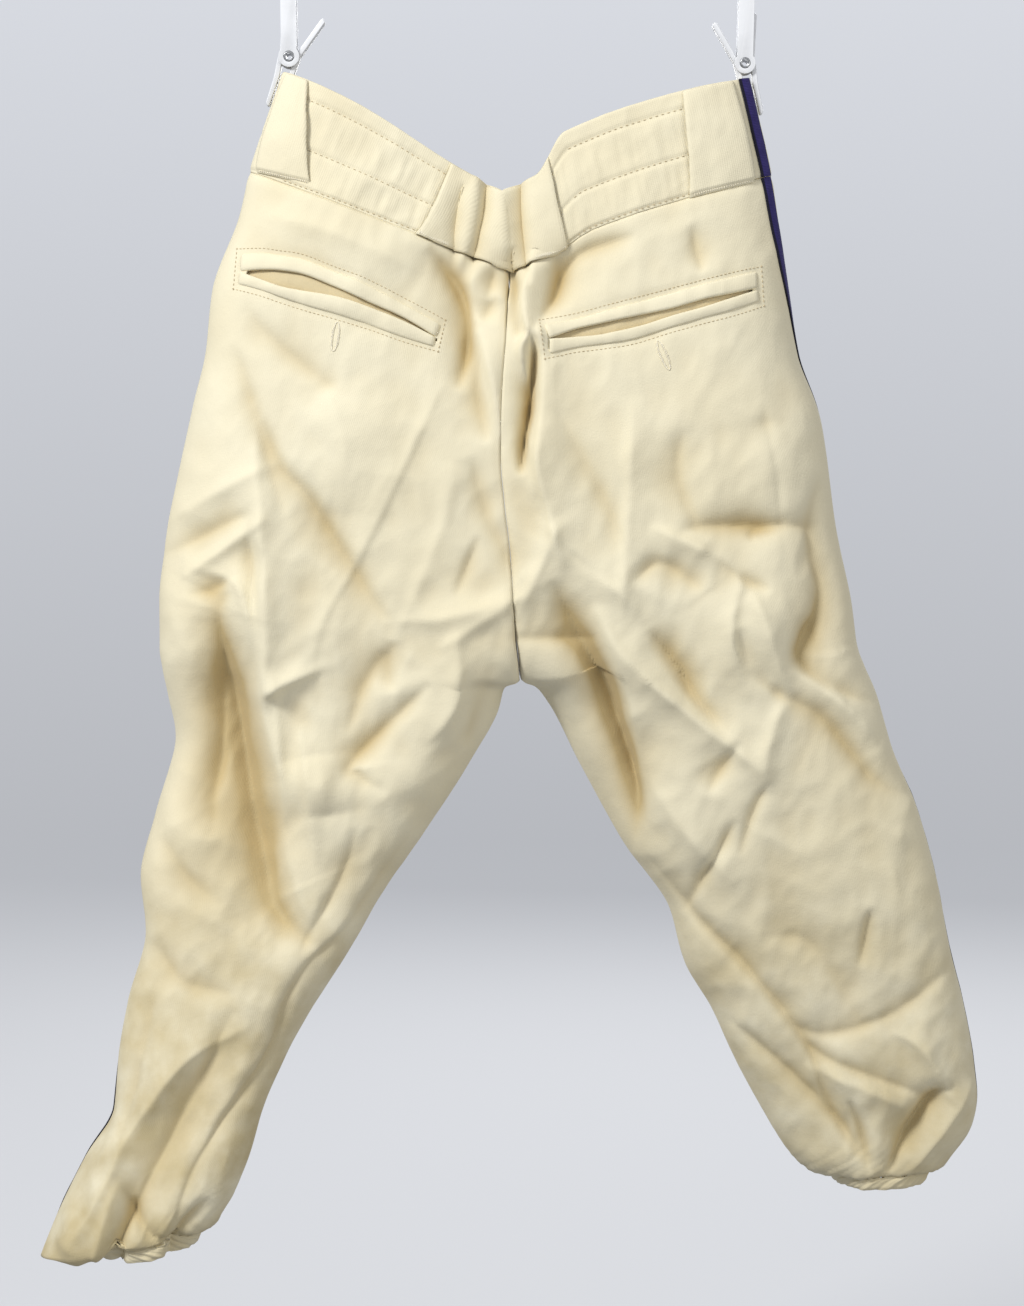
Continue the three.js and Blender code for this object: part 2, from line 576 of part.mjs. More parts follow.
for (const [name, { side: sideName, face, from, to, lowerTo }] of Object.entries(LOOPS)) {
  const side = SIDES[sideName];
  const strip = wall(6, 8, (i, j) => {
    const foot = loopFoot(side, face * angleOfShare(side, at.waistSeam, to));
    const v = THREE.MathUtils.lerp(STRIP_TOP, foot, j);
    const reach = THREE.MathUtils.lerp(to, lowerTo, j);
    return onCloth(sideName, v, face * angleOfShare(side, v, THREE.MathUtils.lerp(from, reach, i)));
  }, STRIP, (i, j) => BAND_TOP_LIFT + LOOP_STAND_OFF * Math.sin(Math.PI * j));
  add(`belt_loop_${name}`, strip, CREAM);
}

/** The wide belt tunnel over the centre of the back. It runs from the left side across to the right. */
const tunnel = wall(18, 5, (i, j) => {
  const reach = THREE.MathUtils.lerp(TUNNEL_LEFT - 1, 1 - TUNNEL_RIGHT, i);
  const name = reach < 0 ? "left" : "right";
  const v = THREE.MathUtils.lerp(STRIP_TOP, at.waistSeam + STRIP_FOOT, j);
  return onCloth(name, v, angleOfShare(SIDES[name], v, 1 - Math.abs(reach)));
}, STRIP, (i, j) => BAND_TOP_LIFT + LOOP_STAND_OFF * Math.sin(Math.PI * j)
  + PLEAT_DEPTH * Math.sin(TUNNEL_PLEATS * Math.PI * i) ** 2);
add("belt_tunnel_centre", tunnel, CREAM);

// ---------------------------------------------------------------- front opening
const FLY_STEEPER = 0.759; // the yoke's sections lie this much closer than those along the whole fly

/** Share of the way from the side to the centre that leaves a length before the centre seam. */
const shareBeforeCentre = (side, v, length) =>
  1 - length / Math.hypot(side.innerX(v) - side.outerX(v), side.innerZ(v) - side.outerZ(v) - side.drop(v));

const flyFoot = at.waistSeam + sectionsOfLength(SIDES.left, at.yoke, -Math.PI / 2, FLY_LENGTH) * FLY_STEEPER;
const fly = wall(6, 14, (i, j) => {
  const side = SIDES.left;
  const v = THREE.MathUtils.lerp(at.waistSeam + STRIP_TOP, flyFoot, j);
  const bend = Math.max(0, j - FLY_CURVE.from) / (1 - FLY_CURVE.from);
  const width = FLY_WIDTH * Math.sqrt(Math.max(FLY_CURVE.narrowest, 1 - bend ** 2));
  const reach = THREE.MathUtils.lerp(shareBeforeCentre(side, v, width), STRIP_INNER, i);
  return onCloth("left", v, -angleOfShare(side, v, reach));
}, STRIP, LAY_GAP + STRIP);
add("fly_front", fly, CREAM);

const tab = wall(5, 3, (i, j) => {
  const side = SIDES.right;
  const v = THREE.MathUtils.lerp(STRIP_TOP, at.waistSeam - STRIP_TOP, j);
  const reach = THREE.MathUtils.lerp(shareBeforeCentre(side, v, TAB_WIDTH), STRIP_INNER, i);
  return onCloth("right", v, -angleOfShare(side, v, reach));
}, STRIP, BAND_TOP_LIFT);
add("waistband_tab", tab, CREAM);

// ---------------------------------------------------------------- back pockets
/** A strip of a pocket between two heights, as shares of the sewn box. */
const pocketStrip = (name, ends, top, foot, lift) =>
  wall(24, 1, (i, j) => pocketPoint(
    name, THREE.MathUtils.lerp(ends, 1 - ends, i), THREE.MathUtils.lerp(top, foot, j)), STRIP, lift);

const FACING_LIFT = -CLOTH - BUTTON_THICKNESS - 2 * LAY_GAP;
const BUTTON_PLACE = { left: 0.5, right: 0.45 }; // share of the way from the pocket's side end

/** A flat button that lies behind the slit on the pocket's facing. */
function pocketButton(name) {
  const { point, normal } = pocketPoint(name, BUTTON_PLACE[name], 0.5);
  const disc = cylinder("y", BUTTON_RADIUS, 0, BUTTON_THICKNESS, [0, 0, 0]);
  const turn = new THREE.Quaternion().setFromUnitVectors(new THREE.Vector3(0, 1, 0), normal.normalize());
  const seat = point.addScaledVector(normal, FACING_LIFT + LAY_GAP);
  return disc.applyQuaternion(turn).translate(...seat.toArray());
}

for (const name of Object.keys(SIDES)) {
  const slit = ofPocket(name, MOUTH_GAP) / 2;
  const margin = ofPocket(name, FACING_MARGIN);
  const lift = WELT_PROUD + STRIP;
  add(`pocket_${name}_welt_upper`, pocketStrip(name, 0, 0, 0.5 - slit, lift), CREAM);
  add(`pocket_${name}_welt_lower`, pocketStrip(name, 0, 0.5 + slit, 1, lift), CREAM);
  const facing = pocketStrip(name, FACING_END, 0.5 - slit - margin, 0.5 + slit + margin, FACING_LIFT);
  add(`pocket_${name}_facing`, facing, CREAM);
  add(`pocket_${name}_button`, pocketButton(name), BUTTON);
}

// ---------------------------------------------------------------- side braid
/** Braid along the side seam through rows of sections, lying on what is under it. */
function braid(name, rows, under) {
  const side = SIDES[name];
  return wall(2, rows.length - 1, (i, j) => {
    const v = rows[Math.round(j * (rows.length - 1))];
    const seam = degrees(side.seam(v));
    const half = angleOfLength(side, v, 0.3, BRAID_WIDTH / 2);
    return onCloth(name, v, seam + THREE.MathUtils.lerp(-half, half, i));
  }, STRIP, under + LAY_GAP + STRIP);
}

for (const name of Object.keys(SIDES)) {
  const bandRows = Array.from({ length: BAND_ROWS + 1 }, (_, j) => (BAND_FOOT * j) / BAND_ROWS);
  add(`braid_band_${name}`, braid(name, bandRows, BAND_PROUD), NAVY);
  add(`braid_leg_${name}`, braid(name, LEG_ROWS.slice(0, -BRAID_SHORT), 0), NAVY);
}

// ---------------------------------------------------------------- elastic hems
const HEM_SLIT = 0.007; // half of the gap at the casing's inner seam, as an angle

for (const [name, side] of Object.entries(SIDES)) {
  const casing = wall(28, 1, (i, j) => {
    const v = THREE.MathUtils.lerp(at.hemTop + HEM_START, at.hemEnd, j);
    return place(side, v, THREE.MathUtils.lerp(HEM_SLIT - Math.PI, Math.PI - HEM_SLIT, i));
  }, BAND, BAND_PROUD);
  add(`hem_${name}`, casing, CREAM);
}

// ---------------------------------------------------------------- pegs
/** One arm of a peg in its own frame: u away from the cloth, w up along the peg, from the jaw face. */
function armOutline(jawFace) {
  const pivotFace = COIL_RADIUS + RUNNING_GAP;
  const top = PIVOT_RISE + HANDLE_LENGTH;
  return [
    [jawFace, -JAW_LENGTH],
    [jawFace, -4],
    [pivotFace, PIVOT_RISE - 3],
    [pivotFace, PIVOT_RISE + 3],
    [HANDLE_SPREAD, top - 1],
    [HANDLE_SPREAD + 1.4, top],
    [HANDLE_SPREAD + ARM_THICKNESS, top - 2],
    [pivotFace + ARM_THICKNESS, PIVOT_RISE + 2],
    [pivotFace + ARM_THICKNESS, PIVOT_RISE - 3],
    [jawFace + ARM_THICKNESS, -6],
    [jawFace + ARM_THICKNESS - 0.6, -JAW_LENGTH + 2],
    [jawFace + ARM_THICKNESS - 1.8, -JAW_LENGTH],
  ];
}

/** The frame of a peg: its place on the waistband's edge, and the directions out of and up the cloth. */
function pegFrame(side) {
  const edge = (v) => new THREE.Vector2(side.outerX(v), side.outerZ(v));
  const up = edge(0).sub(edge(0.45)).normalize();
  const sign = Math.sign(side.outerX(0));
  const out = new THREE.Vector2(up.y * sign, -up.x * sign);
  const origin = edge(0).addScaledVector(out, BAND_PROUD - BAND / 2);
  return { origin, up, out };
}

/** A peg-frame point as [x, z]. */
const inPeg = ({ origin, up, out }, [u, w]) => [
  origin.x + out.x * u + up.x * w,
  origin.y + out.y * u + up.y * w,
];

const JAW_CLEAR = { outer: BAND / 2 + 0.5, inner: BAND / 2 + 2.6 };

/** The spring: a short coil through the peg, drawn as a tube, with its two legs on the arms. */
function spring(frame) {
  const reach = PEG_WIDTH / 2 + RUNNING_GAP + BAIL_STRIP + SPRING_END;
  const [x, z] = inPeg(frame, [0, PIVOT_RISE]);
  const tube = plate(arc(x, z, COIL_RADIUS), -reach, reach, [arc(x, z, COIL_BORE).reverse()]);
  return toGeometry(toSolid(tube));
}

/** The bail: a strip bent over the bar, with an eye at each end for the spring. */
function bail(frame, barX) {
  const [pivotX, pivotZ] = inPeg(frame, [0, PIVOT_RISE]);
  const lean = Math.atan2(barX - pivotX, -ROD_DROP - pivotZ);
  const height = Math.hypot(barX - pivotX, -ROD_DROP - pivotZ);
  const inside = PEG_WIDTH / 2 + RUNNING_GAP;
  const outside = inside + BAIL_STRIP;
  const seat = ROD_RADIUS + RUNNING_GAP;
  const outline = [
    [outside, 0], ...arc(0, height, outside, 0, 180, 14), [-outside, 0],
    [-inside, 0], [-inside, height - inside], [-seat, height - 1], ...arc(0, height, seat, 180, 0, 14),
    [seat, height - 1], [inside, height - inside], [inside, 0],
  ];
  const strip = facingPlate(outline, -BAIL_WIDTH / 2, BAIL_WIDTH / 2).rotateZ(Math.PI / 2);
  const eye = (from, to) => toSolid(cylinder("y", BAIL_EYE, from, to, [0, 0, 0]));
  const bore = toSolid(cylinder("y", COIL_RADIUS + RUNNING_GAP, -20, 20, [0, 0, 0]));
  const joined = toSolid(strip).add(eye(inside, outside)).add(eye(-outside, -inside)).subtract(bore);
  return toGeometry(joined).rotateY(lean).translate(pivotX, 0, pivotZ);
}

const BAIL_TOP_X = { left: -160, right: 162 };
for (const [name, side] of Object.entries(SIDES)) {
  const frame = pegFrame(side);
  const arm = (jawFace, sign) => facingPlate(
    armOutline(jawFace).map(([u, w]) => inPeg(frame, [u * sign, w])), -PEG_WIDTH / 2, PEG_WIDTH / 2);
  add(`peg_${name}_arm_outer`, arm(JAW_CLEAR.outer, 1), WHITE_PLASTIC);
  add(`peg_${name}_arm_inner`, arm(JAW_CLEAR.inner, -1), WHITE_PLASTIC);
  add(`peg_${name}_spring`, spring(frame), STEEL);
  add(`peg_${name}_bail`, bail(frame, BAIL_TOP_X[name]), WHITE_PLASTIC);
}

// ---------------------------------------------------------------- hanger
const bossTop = -ROD_DROP + BOSS_RADIUS;
const END_CAP = { radius: ROD_RADIUS + 3, thickness: 4, overlap: 1 };
const capFrom = ROD_HALF_LENGTH - END_CAP.overlap;
const capTo = capFrom + END_CAP.thickness;
const along = (radius, from, to) => toSolid(cylinder("x", radius, from, to, [0, 0, -ROD_DROP]));
const socket = toSolid(cylinder(
  "z", HOOK_WIRE + LAY_GAP, bossTop - STEM_SOCKET, bossTop + STEM_SOCKET, [0, 0, 0]));
const rod = along(ROD_RADIUS, -ROD_HALF_LENGTH, ROD_HALF_LENGTH)
  .add(along(BOSS_RADIUS, -BOSS_HALF_WIDTH, BOSS_HALF_WIDTH))
  .add(along(END_CAP.radius, capFrom, capTo))
  .add(along(END_CAP.radius, -capTo, -capFrom))
  .subtract(socket);
add("hanger_bar", toGeometry(rod), WHITE_PLASTIC);

const hookCentre = HOOK_WIRE - HOOK_RADIUS; // Z of the bend's centre, so that the wire bears at Z = 0
const stemFoot = bossTop - STEM_SOCKET + LAY_GAP;
const hookPoint = (angle) => new THREE.Vector3(
  HOOK_RADIUS * Math.cos(degrees(angle)), 0, hookCentre + HOOK_RADIUS * Math.sin(degrees(angle)));
const hookPath = new THREE.CurvePath();
const onStem = (z) => new THREE.Vector3(0, 0, z);
const bendAngles = [-20, 10, 40, 70, 100, 130, 160, 190, 205]; // degrees round the bend, to the hook's tip
hookPath.add(new THREE.LineCurve3(onStem(stemFoot), onStem(HOOK_NECK.straightTo)));
hookPath.add(new THREE.CubicBezierCurve3(
  onStem(HOOK_NECK.straightTo), onStem(HOOK_NECK.leanFrom),
  new THREE.Vector3(HOOK_RADIUS * 0.95, 0, HOOK_NECK.leanTo), hookPoint(bendAngles[0])));
hookPath.add(new THREE.CatmullRomCurve3(bendAngles.map(hookPoint)));
const wireRound = arc(0, 0, HOOK_WIRE, 0, 360, 10);
const wireSection = new THREE.Shape(wireRound.map(([x, y]) => new THREE.Vector2(x, y)));
const hookTube = { steps: 48, extrudePath: hookPath, bevelEnabled: false };
const hook = new THREE.ExtrudeGeometry(wireSection, hookTube);
add("hanger_hook", hook, STEEL);

export default garment;
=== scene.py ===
"""Cream baseball pants with elastic hems, hung by the waistband from a clip hanger.

The garment is one closed form, described by a table of sections for each of its two sides. A crease
field of troughs and ridges folds that form, and every sewn piece is a thin shell made from
its points. Sizes are in millimetres and are turned into metres when a mesh is made. The frame is +Z up,
with the seat facing -Y and the origin where the hanger's hook bears on its rail.
"""

from __future__ import annotations

import logging
import math
from dataclasses import dataclass, field, replace
from enum import Enum
from typing import Callable, Sequence

import bmesh
import bpy
import numpy as np
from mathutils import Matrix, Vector

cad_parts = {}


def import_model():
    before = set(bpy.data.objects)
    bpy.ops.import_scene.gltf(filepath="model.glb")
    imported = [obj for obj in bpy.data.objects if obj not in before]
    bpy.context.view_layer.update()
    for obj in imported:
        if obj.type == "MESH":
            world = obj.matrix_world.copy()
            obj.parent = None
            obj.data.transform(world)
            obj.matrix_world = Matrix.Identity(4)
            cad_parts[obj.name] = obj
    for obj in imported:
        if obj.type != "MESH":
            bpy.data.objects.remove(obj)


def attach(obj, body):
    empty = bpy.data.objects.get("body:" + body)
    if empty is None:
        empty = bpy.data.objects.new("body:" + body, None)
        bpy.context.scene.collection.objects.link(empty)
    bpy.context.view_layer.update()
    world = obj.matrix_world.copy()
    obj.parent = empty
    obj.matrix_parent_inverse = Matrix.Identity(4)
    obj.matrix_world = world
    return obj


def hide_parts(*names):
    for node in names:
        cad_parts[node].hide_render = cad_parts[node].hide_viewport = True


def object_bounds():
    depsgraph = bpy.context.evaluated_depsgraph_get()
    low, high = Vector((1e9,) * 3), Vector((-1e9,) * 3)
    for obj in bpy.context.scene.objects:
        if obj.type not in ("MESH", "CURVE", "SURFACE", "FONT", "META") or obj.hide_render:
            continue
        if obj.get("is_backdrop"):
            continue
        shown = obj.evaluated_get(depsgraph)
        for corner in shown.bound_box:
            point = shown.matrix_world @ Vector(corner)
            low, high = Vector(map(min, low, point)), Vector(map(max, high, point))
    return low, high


LOG = logging.getLogger("baseball_pants")
MM = 0.001
BODY = "root"

Array = np.ndarray
Pair = tuple[float, float]
Pairs = Sequence[Pair]
Colour = tuple[float, float, float]
Material = bpy.types.Material
Piece = bpy.types.Object
Socket = bpy.types.NodeSocket


# ---------------------------------------------------------------- the garment's sizes
CLOTH = 1.5  # double-knit cloth
BAND = 3.0  # waistband: two layers of cloth round an elastic
BAND_PROUD = 0.5  # how far the band stands proud of the cloth below it
STRIP = 1.2  # braid, welts and belt loops
LAY_GAP = 0.5  # clear space under a piece that lies on another
SEAM_GAP = 0.3  # clear space between two pieces that are sewn together
BAND_TOP_LIFT = BAND_PROUD + LAY_GAP + STRIP  # outer skin of a strip that lies on the band
LOOP_STAND_OFF = 2.4  # how far a belt loop bows away from the band
BRAID_WIDTH = 12.5


class Hand(Enum):
    """The wearer's left or right side. Seen from behind, the left side is at -X."""

    LEFT = "left"
    RIGHT = "right"


class Face(Enum):
    """The back or the front of the garment: the sign of the angles that it holds."""

    BACK = 1
    FRONT = -1


# innerX, innerZ, outerX, outerZ: the ends of a section, seen from behind
# mid: Y of the section's middle; back, front: how far the cloth stands from it on either side
# wrap: how far round the section the cloth goes before it meets the inner seam, in degrees
# seam: where the side seam lies, in degrees from the outer edge towards the back
# drop: how much lower the front's inner end is; blunt: how square the section is
# bow: rise of the section, highest at the share of the way named crest, and gone by the one named fall;
# a row that leaves these three out takes them from its side's TAIL
COLUMNS = (
    "innerX", "innerZ", "outerX", "outerZ", "mid", "back", "front", "wrap", "seam", "drop",
    "blunt", "bow", "crest", "fall",
)  # fmt: skip
TAIL = {Hand.LEFT: (0, 0.35, 0.8), Hand.RIGHT: (0, 0.68, 0.85)}
LEFT_SECTIONS = {
    "waistTop": (-10, -239, -164, -154, 0, 26, 30, 90, -13, 24, 0.15, 5, 0.35, 0.8),
    "waistSeam": (-4, -294, -188, -224, 0, 34, 37, 90, -13, 20, 0.15),
    "yoke": (-6, -320, -196, -256, 0, 38, 40, 90, -13, 16, 0.15),
    "pocket": (-8, -354, -215, -307, 0, 42, 44, 90, -13, 12, 0.15),
    "underPocket": (-10, -388, -220, -350, 0, 45, 46, 90, -13, 8, 0.15),
    "upperSeat": (-11, -423, -230, -391, 0, 48, 48, 90, -13, 5, 0.15),
    "seat": (-4, -498, -250, -487, 0, 50, 48, 90, -12, 0, 0.15),
    "lowerSeat": (0, -553, -254, -526, -1, 50, 47, 128, -11, 0, 0.15),
    "crotch": (3, -582, -254, -560, -2, 48, 46, 160, -12, 0, 0.15),
    "fork": (-8, -588, -252, -575, -3, 47, 46, 180, -13, 0, 0.15),
    "thighTop": (-13, -605, -248, -596, -4, 46, 45, 180, -14, 0, 0.14),
    "thigh": (-33, -641, -243, -624, -7, 45, 44, 180, -16, 0, 0.13),
    "lowerThigh": (-65, -690, -257, -677, -12, 43, 42, 180, -17, 0, 0.12),
    "knee": (-94, -732, -267, -721, -18, 41, 41, 180, -18, 0, 0.1),
    "belowKnee": (-119, -774, -263, -760, -25, 39, 39, 180, -18, 0, 0.1),
    "upperCalf": (-145, -815, -275, -808, -32, 37, 38, 180, -17, 0, 0.08),
    "calf": (-164, -850, -281, -846, -39, 36, 37, 180, -15, 0, 0.06),
    "lowerCalf": (-179, -884, -283, -881, -45, 36, 36, 180, -6, 0, 0.04),
    "blouseTop": (-188, -915, -304, -917, -50, 38, 36, 180, -13, 0, 0.02),
    "blouse": (-201, -945, -325, -960, -54, 40, 37, 180, -16, 0, 0),
    "blouseFoot": (-212, -962, -335, -985, -56, 36, 35, 180, -16, 0, 0),
    "hemTop": (-222, -968, -296, -979, -56, 32, 32, 180, -12, 0, 0),
    "hemEnd": (-226, -977, -289, -987, -56, 30, 30, 180, -12, 0, 0),
}
RIGHT_SECTIONS = {
    "waistTop": (-10, -239, 164, -159, 0, 26, 30, 90, 13, 24, 0.15, 21, 0.75, 0.87),
    "waistSeam": (-4, -294, 180, -227, 0, 34, 37, 90, 13, 20, 0.15, 7, 0.68, 0.85),
    "yoke": (-6, -320, 186, -265, 0, 38, 40, 90, 11, 16, 0.15, 2, 0.68, 0.85),
    "pocket": (-8, -354, 192, -310, 0, 42, 44, 90, 5, 12, 0.15),
    "underPocket": (-10, -388, 199, -352, 0, 45, 46, 90, -2, 8, 0.15),
    "upperSeat": (-11, -423, 216, -398, 0, 48, 48, 90, -7, 5, 0.15),
    "seat": (-4, -498, 228, -476, 0, 50, 48, 90, -10, 0, 0.15),
    "lowerSeat": (0, -553, 239, -526, 1, 50, 47, 128, -10, 0, 0.15),
    "crotch": (3, -582, 244, -560, 2, 48, 46, 160, -10, 0, 0.15),
    "fork": (14, -588, 249, -573, 3, 47, 46, 180, -10, 0, 0.15),
    "thighTop": (24, -601, 257, -591, 4, 46, 45, 180, -10, 0, 0.14),
    "thigh": (45, -643, 270, -633, 6, 45, 44, 180, -10, 0, 0.13),
    "lowerThigh": (75, -698, 288, -675, 9, 43, 42, 180, -10, 0, 0.12),
    "knee": (110, -748, 304, -729, 13, 41, 41, 180, -10, 0, 0.1),
    "belowKnee": (122, -789, 314, -778, 17, 39, 39, 180, -10, 0, 0.1),
    "upperCalf": (143, -826, 325, -819, 21, 38, 38, 180, -10, 0, 0.08),
    "calf": (162, -867, 333, -858, 25, 38, 38, 180, -10, 0, 0.06),
    "lowerCalf": (181, -902, 337, -894, 29, 38, 37, 180, -10, 0, 0.04),
    "blouseTop": (197, -928, 332, -917, 32, 38, 36, 180, -10, 0, 0.02),
    "blouse": (208, -941, 321, -934, 34, 36, 35, 180, -10, 0, 0),
    "blouseFoot": (219, -947, 313, -943, 35, 34, 33, 180, -10, 0, 0),
    "hemTop": (230, -948, 304, -946, 35, 32, 32, 180, -10, 0, 0),
    "hemEnd": (235, -956, 300, -955, 35, 30, 30, 180, -10, 0, 0),
}
AT = {name: float(i) for i, name in enumerate(LEFT_SECTIONS)}  # each section's place down the garment
SEAM_TRIM = 0.004  # what a seam takes off a piece's end, as a share of the step between two sections
BAND_FOOT = AT["waistSeam"] - SEAM_TRIM
LEG_TOP = AT["waistSeam"] + SEAM_TRIM
LEG_FOOT = AT["hemTop"] - 0.03
HEM_TOP = AT["hemTop"] - 0.1


# ---------------------------------------------------------------- creases
@dataclass(frozen=True)
class Crease:
    """A soft ridge, or a trough if its height is below 0, along a path of (x, z) points.

    minus and plus are how far it reaches on either side: plus is on the right of a path that runs down,
    and above a path that runs to the right.
    """

    height: float
    minus: float
    plus: float
    path: Pairs


def creases(rows: dict[str, tuple[float, ...]]) -> dict[str, Crease]:
    """Reads rows of height, minus and plus, and then the path's x and z in turn."""
    return {name: Crease(*row[:3], tuple(zip(row[3::2], row[4::2]))) for name, row in rows.items()}


